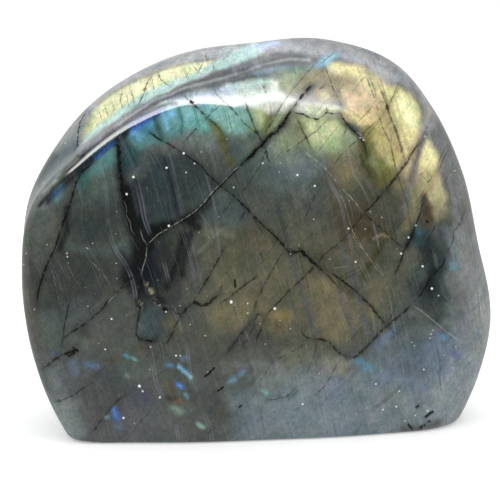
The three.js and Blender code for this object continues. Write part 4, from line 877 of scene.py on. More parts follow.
# Half width, tone, strength and line of its cracks.
backCracks = [
    (0.3, 0, 0.9, [(-51, 53), (-43.4, 47.4), (-34, 42.6), (-25, 36.2), (-17.6, 32.4), (-8, 25.4),
     (-1.4, 21.6)]),
    (0.26, 0, 0.9, [(-22, 83), (-15.8, 74.6), (-7.4, 66.4), (-0.6, 57.4), (8, 49.6), (15.4, 40.8),
     (24.6, 33)]),
    (0.2, 0, 0.8, [(24.6, 33), (30, 25.4), (37.6, 19)]),
    (0.24, 0, 0.85, [(38, 71), (31.6, 62.4), (24.2, 55.4), (18.4, 47.2), (11.6, 40.6), (5.2, 31),
     (-1.4, 24.4)]),
    (0.18, 0, 0.8, [(52, 47), (44.6, 42.8), (38.8, 37.6), (31, 33.4)]),
    (0.2, 0, 0.8, [(-17.6, 32.4), (-22, 23.6), (-28.4, 15.8), (-32.6, 5)]),
    (0.16, 0, 0.75, [(-7.4, 66.4), (-16.6, 61.8), (-25, 55.4), (-35, 51)]),
    (0.16, 0, 0.7, [(24.2, 55.4), (25.4, 46), (28.6, 35.6), (29.4, 24.6), (32.8, 12)]),
    (0.11, 0.8, 0.6, [(-36, 46), (-32.4, 55), (-30.8, 62), (-28, 67)]),
    (0.1, 0.9, 0.6, [(14, 20), (22.4, 23.4), (31, 24.6), (41, 28.6)]),
    (0.2, 0, 0.85, [(3, 86), (5.4, 77), (5, 69.4), (8.2, 60.6), (8, 49.6)]),
    (0.14, 0, 0.7, [(20, 83), (22.4, 75), (27.6, 67.4)]),
    (0.14, 0, 0.65, [(-46, 30), (-38.4, 33.4), (-31, 32.8), (-25, 36.2)]),
    (0.1, 0.7, 0.5, [(-4, 17), (-9.4, 10.6), (-12, 3)]),
    (0.14, 0, 0.65, [(36, 4), (27.6, 11.4), (21.4, 13.8), (14, 20)]),
    (0.12, 0, 0.6, [(-35, 71), (-28.6, 64), (-25.6, 56)]),
]

# The top behind the crest, in mm to the right and mm back.
topPatches = [
    ("seaGreen", 0.7, 2, [(-34, 6), (-20, 4), (-6, 6), (-10, 13), (-26, 14)]),
    ("greenBlue", 0.8, 1.6, [(-28, 8), (-16, 6), (-12, 10), (-22, 12)]),
    ("limeYellow", 0.7, 2, [(4, 6), (18, 4), (28, 8), (20, 14), (8, 13)]),
    ("darkSlate", 0.7, 2, [(-6, 14), (6, 13), (12, 18), (0, 22), (-10, 19)]),
    ("tealGrey", 0.6, 2.5, [(-46, 2), (-36, 0), (-34, 12), (-44, 14)]),
    ("khaki", 0.6, 2, [(26, 4), (36, 2), (38, 10), (30, 14)]),
]

topStrokes = [
    ("darkTeal", 0.7, 0.8, 0.8, [(-24, 2), (-20, 10), (-19, 18)]),
    ("nearBlack", 0.7, 0.5, 0.6, [(-2, 2), (4, 9), (14, 13), (24, 20)]),
    ("nearBlack", 0.6, 0.4, 0.5, [(10, 3), (4, 9), (-4, 18)]),
    ("skyBlue", 0.6, 0.7, 0.8, [(-14, 4), (-12, 10)]),
]

# The sides as they are looked at from the left and from the right, in mm to the right and mm up.
leftPatches = [
    # painted reflection over the stone's colour: grey of the upper side
    ("rimGreyReflection", 0.9, 6, [(-30, 90), (30, 90), (30, 48), (-30, 52)]),
    ("slate", 0.7, 5, [(-30, 30), (30, 26), (30, -6), (-30, -6)]),
    ("teal", 0.7, 3, [(-12, 64), (2, 70), (10, 60), (4, 48), (-10, 50)]),
    ("greenBlue", 0.7, 2, [(-8, 61), (1, 65), (5, 58), (-4, 53)]),
    ("dullGold", 0.7, 3, [(-10, 38), (8, 40), (12, 28), (0, 22), (-12, 26)]),
    ("darkSlate", 0.7, 2.5, [(4, 46), (14, 48), (16, 36), (8, 34)]),
    # painted reflection over the stone's colour: pale grey near the top
    ("rimPaleReflection", 0.6, 3, [(-14, 82), (14, 84), (16, 72), (-12, 72)]),
]

leftStrokes = [
    ("nearBlack", 0.75, 0.4, 0.5, [(-16, 52), (-6, 47), (4, 38), (16, 31)]),
    ("nearBlack", 0.7, 0.3, 0.4, [(10, 70), (4, 54), (2, 40), (6, 22)]),
    ("nearBlack", 0.6, 0.3, 0.4, [(-14, 20), (-4, 26), (2, 40)]),
    ("skyBlue", 0.7, 0.6, 0.7, [(-4, 14), (-1, 11)]),
    ("blue", 0.6, 0.8, 1, [(7, 12), (8, 9)]),
    ("tan", 0.5, 0.5, 0.6, [(-2, 57), (0, 55)]),
]

rightPatches = [
    # painted reflection over the stone's colour: pale grey of the upper side
    ("rimPaleReflection", 0.8, 6, [(-30, 90), (30, 90), (30, 54), (-30, 56)]),
    ("slate", 0.8, 5, [(-30, 34), (30, 30), (30, -6), (-30, -6)]),
    ("khaki", 0.7, 3, [(-8, 66), (4, 68), (8, 56), (2, 46), (-8, 50)]),
    ("peachGold", 0.7, 2, [(-5, 63), (2, 64), (4, 56), (-4, 54)]),
    ("blueSlate", 0.7, 3, [(-10, 30), (6, 34), (12, 20), (-4, 14)]),
    ("darkSlate", 0.7, 2.5, [(-12, 48), (-2, 46), (-2, 36), (-12, 36)]),
    ("tealGrey", 0.6, 3, [(6, 44), (16, 42), (16, 28), (6, 30)]),
]

rightStrokes = [
    ("nearBlack", 0.75, 0.4, 0.5, [(-16, 34), (-6, 40), (6, 50), (16, 55)]),
    ("nearBlack", 0.7, 0.3, 0.4, [(-10, 62), (-6, 40), (0, 24), (2, 10)]),
    ("nearBlack", 0.6, 0.3, 0.4, [(16, 20), (8, 26), (0, 24)]),
    ("cyanBlue", 0.6, 0.7, 0.9, [(4, 27), (6, 23)]),
    ("indigo", 0.5, 1, 1.4, [(-4, 20), (-2, 15)]),
    ("glint", 0.6, 0.25, 0.3, [(8, 38), (12, 33), (16, 31)]),
]

# How the paint is laid. Edges wander a little, wide and fine, by a share of how soft they are.
brush = {
    "swayWide": 5, "swayFine": 1.7, "fineShare": 0.5,  # mm, and the fine sway as a share of the wide one
    "patchSway": 0.55, "patchSwayMost": 1.4, "strokeSway": 0.4, "strokeSwayMost": 0.6,
    "seeds": {"front": 1, "back": 11, "top": 21, "sides": 31},
    "openFrom": 0.12, "darkUnder": 0.5, "fullShadeAt": 0.3, "shadeFalls": 3,  # cracks shaded beside
    "frontShade": (1.5, 0.45), "backShade": (2.6, 0.4),  # reach in mm, strength
}
# How the open pits lie, as shares of their half width: the edge of the painted shade in them and the wall of
# the hollow.
pitShape = {"reach": 2, "darkEdge": (1.4, 0.6), "darkness": 0.95, "wall": (1.2, 0.3), "margin": 0.5}
farOff = 1e9


def hexToRgb(code):
    return np.array([int(code[i:i + 2], 16) / 255 for i in (1, 3, 5)])


def toLinear(value):
    return np.where(value <= 0.04045, value / 12.92, ((value + 0.055) / 1.055) ** 2.4)


def ease(low, high, value):
    t = np.clip((value - low) / (high - low), 0, 1)
    return t * t * (3 - 2 * t)


def drift(x, y, size, seed):
    # smooth random field of -1 to 1, its swells about `size` mm wide
    cells = 64
    grid = np.random.default_rng(seed).random((cells, cells)) * 2 - 1
    gx, gy = x / size, y / size
    ix, iy = np.floor(gx).astype(int), np.floor(gy).astype(int)
    tx, ty = ease(0, 1, gx - ix), ease(0, 1, gy - iy)

    def corner(i, j):
        return grid[(ix + i) % cells, (iy + j) % cells]

    low = corner(0, 0) * (1 - tx) + corner(1, 0) * tx
    high = corner(0, 1) * (1 - tx) + corner(1, 1) * tx
    return low * (1 - ty) + high * ty


def alongEdge(x, y, start, end):
    # how far along an edge each point lies, from 0 to 1, and how far from it in mm
    (ax, ay), (bx, by) = start, end
    t = np.clip(((x - ax) * (bx - ax) + (y - ay) * (by - ay)) / ((bx - ax) ** 2 + (by - ay) ** 2), 0, 1)
    return t, np.hypot(x - ax - t * (bx - ax), y - ay - t * (by - ay))


def insideOutline(x, y, outline):
    # distance in mm to the outline, above zero inside it
    away = np.full(len(x), farOff)
    winding = np.zeros(len(x), bool)
    for start, end in zip(outline, outline[1:] + outline[:1]):
        away = np.minimum(away, alongEdge(x, y, start, end)[1])
        (ax, ay), (bx, by) = start, end
        if ay != by:
            winding ^= ((ay > y) != (by > y)) & (x < ax + (y - ay) * (bx - ax) / (by - ay))
    return np.where(winding, away, -away)


def nearLine(x, y, line):
    # mm to an open line, the side of it, and how far along it from 0 to 1
    away, side, along = np.full(len(x), farOff), np.ones(len(x)), np.zeros(len(x))
    lengths = [math.dist(a, b) for a, b in zip(line, line[1:])]
    done = 0
    for start, end, length in zip(line, line[1:], lengths):
        t, distance = alongEdge(x, y, start, end)
        (ax, ay), (bx, by) = start, end
        nearer = distance < away
        away[nearer] = distance[nearer]
        side[nearer] = np.where((x - ax) * (by - ay) > (y - ay) * (bx - ax), 1, -1)[nearer]
        along[nearer] = ((done + t * length) / sum(lengths))[nearer]
        done += length
    return away, side, along


def closeTo(x, y, line, reach):
    # the points within reach of the box round a line
    spots = np.array(line)
    low, high = spots.min(0) - reach, spots.max(0) + reach
    return np.flatnonzero((x > low[0]) & (x < high[0]) & (y > low[1]) & (y < high[1]))


def layTint(colour, picked, tint, cover):
    cover = cover[:, None]
    colour[picked] = colour[picked] * (1 - cover) + hexToRgb(tints[tint]) * cover


def paintMarks(x, y, patches, strokes, face):
    colour = np.tile(hexToRgb(tints["body"]), (len(x), 1))
    seed = brush["seeds"][face]
    swayX, swayY = (drift(x, y, brush["swayWide"], first)
                    + brush["fineShare"] * drift(x, y, brush["swayFine"], first + 1)
                    for first in (seed, seed + 2))
    farthest = 1 + brush["fineShare"]
    for tint, strength, soft, outline in patches:
        sway = min(brush["patchSway"] * soft, brush["patchSwayMost"])
        picked = closeTo(x, y, outline, soft + sway * farthest)
        edge = insideOutline(x[picked] + sway * swayX[picked], y[picked] + sway * swayY[picked], outline)
        layTint(colour, picked, tint, strength * ease(-soft, soft, edge))
    for tint, strength, half, soft, line in strokes:
        sway = min(brush["strokeSway"] * soft, brush["strokeSwayMost"])
        picked = closeTo(x, y, line, half + soft + sway * farthest)
        away = nearLine(x[picked] + sway * swayX[picked], y[picked] + sway * swayY[picked], line)[0]
        layTint(colour, picked, tint, strength * ease(half + soft, max(half - soft, 0), away))
    return colour


def shadeCracks(x, y, colour, cracks, reach, strength):
    # painted shade: the stone is darker beside an open crack, most of all beside the strongest
    for half, tone, share, line in cracks:
        if tone < brush["darkUnder"] and half > brush["openFrom"]:
            picked = closeTo(x, y, line, reach)
            away = nearLine(x[picked], y[picked], line)[0]
            depth = strength * share ** brush["shadeFalls"] * min(half / brush["fullShadeAt"], 1)
            layTint(colour, picked, "nearBlack", depth * ease(reach, 0, away))


def eachPit(x, y, edge):
    # for each pit: the points near it, how far they are within that edge from 0 to 1, and its depth
    outer, inner = pitShape[edge]
    for half, deep, line in frontPits:
        picked = closeTo(x, y, line, pitShape["reach"] * half)
        away = nearLine(x[picked], y[picked], line)[0]
        yield picked, ease(outer * half, inner * half, away), deep


def paintFront(x, y):
    colour = paintMarks(x, y, frontPatches, frontStrokes, "front")
    shadeCracks(x, y, colour, frontCracks, *brush["frontShade"])
    # painted shade inside each open pit, darkest along its line
    for picked, within, deep in eachPit(x, y, "darkEdge"):
        layTint(colour, picked, "shadeInPits", pitShape["darkness"] * within)
    return colour


def paintBack(x, y):
    colour = paintMarks(x, y, backPatches, backStrokes, "back")
    shadeCracks(x, y, colour, backCracks, *brush["backShade"])
    return colour


# How cracks and dust specks are handed to the finish, in mm: marks that share a layer lie this far apart
# and are felt this far away. A crack tapers over its last stretch, or over a share of a short one.
layering = {
    "apart": 2.4, "reach": 1.2, "backApart": 6, "backReach": 3,
    "taper": 1.5, "taperShare": 1 / 3, "steps": 12,
    "unmarked": 50,  # what a crack layer holds where no crack is near, in half widths
}


def sortApart(marks, apart):
    # marks that lie at least this far apart in mm share a layer
    layers = []
    for mark in sorted(marks, key=lambda row: -row[0]):
        dense = np.array(mark[-1])
        if len(dense) > 1:
            steps = layering["steps"]
            dense = np.concatenate([np.linspace(a, b, steps) for a, b in zip(dense, dense[1:])])
        for layer in layers:
            if all(np.hypot(*(dense[:, None] - other[None]).transpose(2, 0, 1)).min() > apart
                   for other, _ in layer):
                layer.append((dense, mark))
                break
        else:
            layers.append([(dense, mark)])
    return [[mark for _, mark in layer] for layer in layers]


def crackLayer(x, y, layer, reach):
    # for each vertex: signed distance over half width, strength, and tone of the nearest line
    best = np.full(len(x), 2.0 * reach)
    values = np.zeros((len(x), 3))
    values[:, 0] = layering["unmarked"]
    for half, tone, strength, line in layer:
        picked = closeTo(x, y, line, 2 * reach)
        away, side, along = nearLine(x[picked], y[picked], line)
        length = sum(math.dist(a, b) for a, b in zip(line, line[1:]))
        tip = min(layering["taper"], length * layering["taperShare"])
        taper = np.clip(np.minimum(along, 1 - along) * length / tip, 0, 1)
        nearer = away < best[picked]
        here = picked[nearer]
        best[here] = away[nearer]
        values[here, 0] = (away * side)[nearer] / half
        values[here, 1] = (strength * taper * ease(reach, reach / 2, away))[nearer]
        values[here, 2] = tone
    return values


def dustLayer(x, y, layer, reach):
    # for each vertex: offset from the nearest speck over its radius, and its strength
    best = np.full(len(x), farOff)
    values = np.zeros((len(x), 3))
    for radius, strength, ((px, py),) in layer:
        away = np.hypot(x - px, y - py)
        nearer = away < best
        best[nearer] = away[nearer]
        offsets = np.column_stack([(x - px) / radius, (y - py) / radius,
                                   strength * ease(reach, reach / 2, away)])
        values[nearer] = offsets[nearer]
    return values


def pitDepth(x, y):
    depth = np.zeros(len(x))
    for picked, within, deep in eachPit(x, y, "wall"):
        depth[picked] = np.maximum(depth[picked], deep * within)
    return depth


# How the copy of the solid is made finer, most of all under the finest marks of the front.
meshing = {
    "merge": 2e-6, "flat": 50, "square": 60,  # metres, and degrees within which two triangles make a quad
    "wholeCuts": 1, "seenCuts": 2, "fineCuts": 1,
    "seenFrom": 0.12,  # how squarely a face looks at the eye, from 0 for edge on to 1
    "fineArea": [(-45, 64), (-42, 76), (-30, 84.5), (-14, 89), (2, 92), (6, 88), (-6, 81.5), (-20, 79),
                 (-34, 70), (-44, 62)],
}


def vectorsOf(items, name):
    values = np.zeros(len(items) * 3)
    items.foreach_get(name, values)
    return values.reshape(-1, 3)


def selectFaces(stone, wanted):
    # selects the faces whose centre and normal are wanted
    mesh = stone.data
    x, y, toEye = seenAlong(vectorsOf(mesh.polygons, "center") / mm, sight)
    facing = (vectorsOf(mesh.polygons, "normal") * toEye).sum(1)
    mesh.polygons.foreach_set("select", wanted(x, y, facing))
    mesh.vertices.foreach_set("select", np.zeros(len(mesh.vertices), bool))
    mesh.edges.foreach_set("select", np.zeros(len(mesh.edges), bool))
    bpy.context.tool_settings.mesh_select_mode = (False, False, True)


def isSeen(x, y, facing):
    return facing > meshing["seenFrom"]


def isFine(x, y, facing):
    fine = insideOutline(x, y, meshing["fineArea"]) > 0
    for half, deep, line in frontPits:
        fine |= nearLine(x, y, line)[0] < half + pitShape["margin"]
    return fine & (facing > 0)


def cutFaces(stone, wanted, cuts):
    selectFaces(stone, wanted)
    bpy.ops.object.mode_set(mode="EDIT")
    bpy.ops.mesh.subdivide(number_cuts=cuts, smoothness=0, ngon=False)
    bpy.ops.object.mode_set(mode="OBJECT")


def dressStone():
    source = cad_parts["labradorite_stone"]
    bpy.ops.object.select_all(action="DESELECT")
    stone = bpy.data.objects.new(stoneForm["name"], source.data.copy())
    bpy.context.scene.collection.objects.link(stone)
    stone.data.materials.clear()
    bpy.context.view_layer.objects.active = stone
    stone.select_set(True)
    if stone.data.has_custom_normals:
        bpy.ops.mesh.customdata_custom_splitnormals_clear()
    bpy.ops.object.mode_set(mode="EDIT")
    bpy.ops.mesh.select_all(action="SELECT")
    bpy.ops.mesh.remove_doubles(threshold=meshing["merge"])
    bpy.ops.mesh.tris_convert_to_quads(face_threshold=math.radians(meshing["flat"]),
                                       shape_threshold=math.radians(meshing["square"]))
    bpy.ops.mesh.subdivide(number_cuts=meshing["wholeCuts"], smoothness=0, ngon=False)
    bpy.ops.object.mode_set(mode="OBJECT")
    cutFaces(stone, isSeen, meshing["seenCuts"])
    cutFaces(stone, isFine, meshing["fineCuts"])
    mesh = stone.data
    points = ontoStone(vectorsOf(mesh.vertices, "co") / mm)
    mesh.vertices.foreach_set("co", (points * mm).ravel())
    mesh.update()
    bpy.ops.object.shade_smooth()
    print("stone: faces", len(mesh.polygons), "triangles", sum(len(p.vertices) - 2 for p in mesh.polygons))
    return stone, points


def addAttribute(stone, name, values):
    # one value, vector or colour for each vertex
    values = np.asarray(values, np.float32)
    kinds = {1: ("FLOAT", "value"), 3: ("FLOAT_VECTOR", "vector"), 4: ("FLOAT_COLOR", "color")}
    kind, field = kinds[values.shape[1] if values.ndim > 1 else 1]
    stone.data.attributes.new(name, kind, "POINT").data.foreach_set(field, values.ravel())


# Where each face of the stone takes over, as ranges that its normal or its distance passes through.
faces = {
    "front": (-0.3, -0.02), "frontHalf": 0.5,  # how squarely it looks at the eye
    "top": (0.7, 0.9), "topBehind": (2, 8), "topShare": 0.7,  # upwards, mm backwards, share
    "side": (0.6, 0.85), "sideHidden": (0.28, 0.04), "sideShare": 0.85,
    "under": (-0.75, -0.97), "underTint": "tealGrey",
    "fractured": (0.3, 0.65),  # hairlines lie in the two broad faces
}

stone, points = dressStone()
across, up, toEye = seenAlong(points, sight)
behindAcross, behindUp, _ = seenAlong(points, backSight)
normals = vectorsOf(stone.data.vertices, "normal")
facing = (normals * toEye).sum(1)
frontShare = ease(*faces["front"], facing)

# pits go straight in
sunk = points - normals * (pitDepth(across, up) * frontShare)[:, None]
stone.data.vertices.foreach_set("co", (sunk * mm).ravel())
stone.data.update()


def blendIn(painted, marks, share):
    return painted + (toLinear(marks) - painted) * share[:, None]


painted = blendIn(toLinear(paintBack(behindAcross, behindUp)), paintFront(across, up), frontShare)
topShare = ease(*faces["top"], normals[:, 2]) * ease(*faces["topBehind"], points[:, 1]) * faces["topShare"]
painted = blendIn(painted, paintMarks(points[:, 0], points[:, 1], topPatches, topStrokes, "top"), topShare)
# the two sides, past what the front shows
for turn, patches, strokes in ((-1, leftPatches, leftStrokes), (1, rightPatches, rightStrokes)):
    beside = paintMarks(points[:, 1] * turn, points[:, 2], patches, strokes, "sides")
    sideShare = ease(*faces["side"], turn * normals[:, 0]) * ease(*faces["sideHidden"], facing)
    painted = blendIn(painted, beside, sideShare * faces["sideShare"])
# the underside is plain
painted = blendIn(painted, hexToRgb(tints[faces["underTint"]]), ease(*faces["under"], normals[:, 2]))
addAttribute(stone, "flashTint", np.column_stack([painted, np.ones(len(painted))]))
print("paint: laid on", len(points), "vertices")

# the front and the back share their crack attributes, and fade out where they meet
frontLayers = sortApart(frontCracks, layering["apart"])
backLayers = sortApart(backCracks, layering["backApart"])
layerCount = max(len(frontLayers), len(backLayers))
frontLayers += [[]] * (layerCount - len(frontLayers))
backLayers += [[]] * (layerCount - len(backLayers))
onFront = (frontShare > faces["frontHalf"])[:, None]
for i, (frontLayer, backLayer) in enumerate(zip(frontLayers, backLayers)):
    values = np.where(onFront, crackLayer(across, up, frontLayer, layering["reach"]),
                      crackLayer(behindAcross, behindUp, backLayer, layering["backReach"]))
    values[:, 1] *= np.abs(2 * frontShare - 1)
    addAttribute(stone, "cracks%d" % i, values)
dustLayers = sortApart([(radius, strength, [(x, y)]) for radius, strength, x, y in frontDust],
                       layering["apart"])
for i, layer in enumerate(dustLayers):
    values = dustLayer(across, up, layer, layering["reach"])
    values[:, 2] *= frontShare
    addAttribute(stone, "dust%d" % i, values)
print("marks:", len(frontPatches), "patches", layerCount, "crack layers", len(dustLayers), "dust layers")

# Softer polish over the upper right of the front, where the gloss is hazy.
haze = {"outline": [(-4, 93), (2, 84), (6, 81.2), (9, 79.6), (13, 79), (17, 78.6), (20, 77.5), (24, 75),
                    (30, 77), (33, 84), (20, 94)],
        "soft": 2.4, "polish": 0.1, "hazy": 0.6}
hazy = ease(-haze["soft"], haze["soft"], insideOutline(across, up, haze["outline"])) * frontShare
addAttribute(stone, "fractured", ease(*faces["fractured"], np.abs(normals[:, 1])))
addAttribute(stone, "polish", haze["polish"] + (haze["hazy"] - haze["polish"]) * hazy)


def addNode(tree, kind, inputs={}, **settings):
    # a value goes into its socket; a node, or an output of one, is linked to it
    node = tree.nodes.new("ShaderNode" + kind)
    for key, value in settings.items():
        setattr(node, key, value)
    for key, value in inputs.items():
        if isinstance(value, bpy.types.Node):
            value = value.outputs[0]
        if isinstance(value, bpy.types.NodeSocket):
            tree.links.new(value, node.inputs[key])
        else:
            node.inputs[key].default_value = value
    return node


def emptyTree(owner):
    # of a material or a world
    owner.use_nodes = True
    owner.node_tree.nodes.clear()
    return owner.node_tree


def linearTint(code):
    return (*(float(v) for v in toLinear(hexToRgb(code))), 1)


def layOver(tree, colour, tint, shape, share):
    # a tint over the colour, where both the shape and its share of the stone let it show
    cover = addNode(tree, "Math", {0: shape, 1: share}, operation="MULTIPLY")
    return addNode(tree, "Mix", {"Factor": cover, 6: colour, 7: tint}, data_type="RGBA").outputs[2]


# Labradorite, a plagioclase feldspar, cut and polished: a glassy surface over dark thin layers, which throw
# blue, green and gold flashes back only where they lie square to the light, so the stone is patchy.
grain = {
    "ior": 1.56,
    # size in mm, brightness share, colour share
    "swells": [(6, 0.12, 0.06), (2.2, 0.15, 0.06), (0.8, 0.14, 0.04), (0.35, 0.14, 0.03)],
    # turn in degrees, width and length in mm, share; then how deep they run in mm
    "lamellae": [(-14, 0.55, 12, 0.14), (40, 1, 9, 0.11)], "layerDepth": 6, "layerRoughness": 0.6,
    "hairlines": [  # turn in degrees, spacing and length of a bend in mm, tint, strength
        (-15, 2.6, 20, "#8f93a0", 0.3), (-12, 2, 15, "#121512", 0.4), (42, 3.4, 18, "#14140f", 0.45),
        (-50, 4, 20, "#15140e", 0.15), (-18, 3, 20, "#a0a096", 0.2),
    ],
    "hairBend": 2.5,  # how far a hairline sways, in spacings
    "hairLevel": 0.54, "hairHalf": 0.012,  # the value of noise that a hairline follows, and half its width
    "hairPatch": 7, "hairKept": (0.46, 0.6),  # mm, and where hairlines start
    "hairShift": 0.013, "patchShift": 0.05,  # metres from one family of hairlines to the next, in the noise
    "wobbleSize": 0.8, "wobble": 0.4,  # mm, and how far a crack's line is pushed, in half widths
    "breakSize": 1.1, "widening": 1, "unbroken": (0.46, 0.6),  # mm, and where a pale crack shows
    "crackEdge": (0.2, 1.7), "paleCrack": "#cfcdc2", "darkCrack": "#12120e",
    # spacing in mm, radius share, tint, strength; then which of them show
    "specks": [(2.3, 0.085, "#dadad4", 0.65), (1.9, 0.11, "#0c0d0c", 0.6)], "speckKept": (0.55, 0.9),
    "dust": "#f4f4f2", "dustEdge": (0.6, 1.2), "dustRagged": 0.6,
}
noiseSpread = 0.25  # most of a noise lies this far to either side of its middle, a half
edgeGain = 5  # turns a noise about its middle into half widths

material = bpy.data.materials.new("polished labradorite")
tree = emptyTree(material)
place = addNode(tree, "TexCoord").outputs["Object"]
colour = addNode(tree, "Attribute", attribute_name="flashTint").outputs["Color"]

# cloudiness, in which the colour drifts less than the brightness
for size, share, drifted in grain["swells"]:
    cloud = addNode(tree, "TexNoise", {"Vector": place, "Scale": 1 / (size * mm), "Detail": 3})
    light = addNode(tree, "Math", {
        0: cloud, 1: share / noiseSpread,
        2: 1 - (share + drifted) / noiseSpread / 2}, operation="MULTIPLY_ADD")
    hue = addNode(tree, "VectorMath", {
        0: cloud.outputs["Color"], 1: (drifted / noiseSpread,) * 3, 2: light}, operation="MULTIPLY_ADD")
    colour = addNode(tree, "VectorMath", {0: colour, 1: hue}, operation="MULTIPLY")

# thin layers: noise drawn out along them
for turn, width, length, share in grain["lamellae"]:
    turned = addNode(tree, "Mapping", {
        "Vector": place, "Rotation": (0, math.radians(turn), 0),
        "Scale": (width * mm, grain["layerDepth"] * mm, length * mm)}, vector_type="TEXTURE")
    noise = addNode(tree, "TexNoise", {
        "Vector": turned, "Scale": 1, "Detail": 3, "Roughness": grain["layerRoughness"]})
    light = addNode(tree, "Math", {
        0: noise, 1: share / noiseSpread, 2: 1 - share / noiseSpread / 2}, operation="MULTIPLY_ADD")
    colour = addNode(tree, "VectorMath", {0: colour, "Scale": light}, operation="SCALE")

# hairline fractures: nearly straight lines where noise passes one value, in patches of the two faces
fractured = addNode(tree, "Attribute", attribute_name="fractured").outputs["Fac"]
for i, (turn, width, length, tint, strength) in enumerate(grain["hairlines"], 1):
    turned = addNode(tree, "Mapping", {
        "Vector": place, "Location": (grain["hairShift"] * i, 0, 0), "Rotation": (0, math.radians(turn), 0),
        "Scale": (width * mm,) * 3}, vector_type="TEXTURE")
    acrossThem = addNode(tree, "SeparateXYZ", {0: turned}).outputs["X"]
    bend = addNode(tree, "TexNoise", {"Vector": place, "Scale": 1 / (length * mm), "Detail": 1})
    bent = addNode(tree, "Math", {0: bend, 1: grain["hairBend"], 2: acrossThem}, operation="MULTIPLY_ADD")
    noise = addNode(tree, "TexNoise", {"W": bent, "Scale": 1, "Detail": 0}, noise_dimensions="1D")
    centred = addNode(tree, "Math", {0: noise, 1: grain["hairLevel"]}, operation="SUBTRACT")
    away = addNode(tree, "Math", {0: centred}, operation="ABSOLUTE")
    hair = addNode(tree, "MapRange", {
        "Value": away, "From Min": 0, "From Max": grain["hairHalf"],
        "To Min": strength, "To Max": 0}, interpolation_type="SMOOTHSTEP")
    moved = addNode(tree, "VectorMath", {0: place, 1: (0, grain["patchShift"] * i, 0)}, operation="ADD")
    patch = addNode(tree, "TexNoise", {
        "Vector": moved, "Scale": 1 / (grain["hairPatch"] * mm), "Detail": 2})
    kept = addNode(tree, "MapRange", {
        "Value": patch, "From Min": grain["hairKept"][0], "From Max": grain["hairKept"][1],
        "To Max": fractured})
    colour = layOver(tree, colour, linearTint(tint), hair, kept)

# cracks: each layer is a sharp line, its width and edge uneven, the pale ones broken into glints
fineNoise, breakNoise = (
    addNode(tree, "TexNoise", {"Vector": place, "Scale": 1 / (size * mm), "Detail": detail})
    for size, detail in ((grain["wobbleSize"], 3), (grain["breakSize"], 2)))
wobble, widened = (
    addNode(tree, "Math", {0: noise, 1: gain, 2: -gain / 2}, operation="MULTIPLY_ADD")
    for noise, gain in ((fineNoise, edgeGain * grain["wobble"]),
                        (breakNoise, edgeGain * grain["widening"])))
unbroken = addNode(tree, "MapRange", {
    "Value": breakNoise, "From Min": grain["unbroken"][0], "From Max": grain["unbroken"][1]})
for i in range(layerCount):
    crack = addNode(tree, "Attribute", attribute_name="cracks%d" % i)
    parts = addNode(tree, "SeparateXYZ", {0: crack.outputs["Vector"]})
    swayed = addNode(tree, "Math", {0: parts.outputs["X"], 1: wobble}, operation="ADD")
    away = addNode(tree, "Math", {0: swayed}, operation="ABSOLUTE")
    uneven = addNode(tree, "Math", {0: away, 1: widened}, operation="ADD")
    line = addNode(tree, "MapRange", {
        "Value": uneven, "From Min": grain["crackEdge"][0], "From Max": grain["crackEdge"][1],
        "To Min": 1, "To Max": 0}, interpolation_type="SMOOTHSTEP")
    tone = addNode(tree, "Mix", {
        "Factor": parts.outputs["Z"], 6: linearTint(grain["darkCrack"]),
        7: linearTint(grain["paleCrack"])}, data_type="RGBA")
    broken = addNode(tree, "Mix", {"Factor": parts.outputs["Z"], 2: 1.0, 3: unbroken})
    drawn = addNode(tree, "Math", {0: line, 1: parts.outputs["Y"]}, operation="MULTIPLY")
    colour = layOver(tree, colour, tone.outputs[2], drawn, broken)

# fine specks all over: some cells of a random pattern hold a dot
for spacing, radius, tint, strength in grain["specks"]:
    cells = addNode(tree, "TexVoronoi", {"Vector": place, "Scale": 1 / (spacing * mm)})
    dot = addNode(tree, "MapRange", {
        "Value": cells.outputs["Distance"], "From Min": radius / 2, "From Max": radius,
        "To Min": strength, "To Max": 0}, interpolation_type="SMOOTHSTEP")
    chance = addNode(tree, "SeparateColor", {0: cells.outputs["Color"]})
    kept = addNode(tree, "MapRange", {
        "Value": chance, "From Min": grain["speckKept"][0], "From Max": grain["speckKept"][1]})
    colour = layOver(tree, colour, linearTint(tint), dot, kept)

# the larger dust specks and chips, each in its own place
for i in range(len(dustLayers)):
    speck = addNode(tree, "Attribute", attribute_name="dust%d" % i)
    parts = addNode(tree, "SeparateXYZ", {0: speck.outputs["Vector"]})
    flat = addNode(tree, "CombineXYZ", {0: parts.outputs["X"], 1: parts.outputs["Y"]})
    away = addNode(tree, "VectorMath", {0: flat}, operation="LENGTH")
    ragged = addNode(tree, "Math", {
        0: wobble, 1: grain["dustRagged"], 2: away.outputs["Value"]}, operation="MULTIPLY_ADD")
    dot = addNode(tree, "MapRange", {
        "Value": ragged, "From Min": grain["dustEdge"][0], "From Max": grain["dustEdge"][1],
        "To Min": 1, "To Max": 0}, interpolation_type="SMOOTHSTEP")
    colour = layOver(tree, colour, linearTint(grain["dust"]), dot, parts.outputs["Z"])

polish = addNode(tree, "Attribute", attribute_name="polish")
shader = addNode(tree, "BsdfPrincipled", {
    "Base Color": colour, "Roughness": polish.outputs["Fac"], "IOR": grain["ior"]})
addNode(tree, "OutputMaterial", {"Surface": shader})
stone.data.materials.append(material)

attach(stone, "root")
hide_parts("labradorite_stone")
print("finish: polished labradorite, with", len(tree.nodes), "nodes")

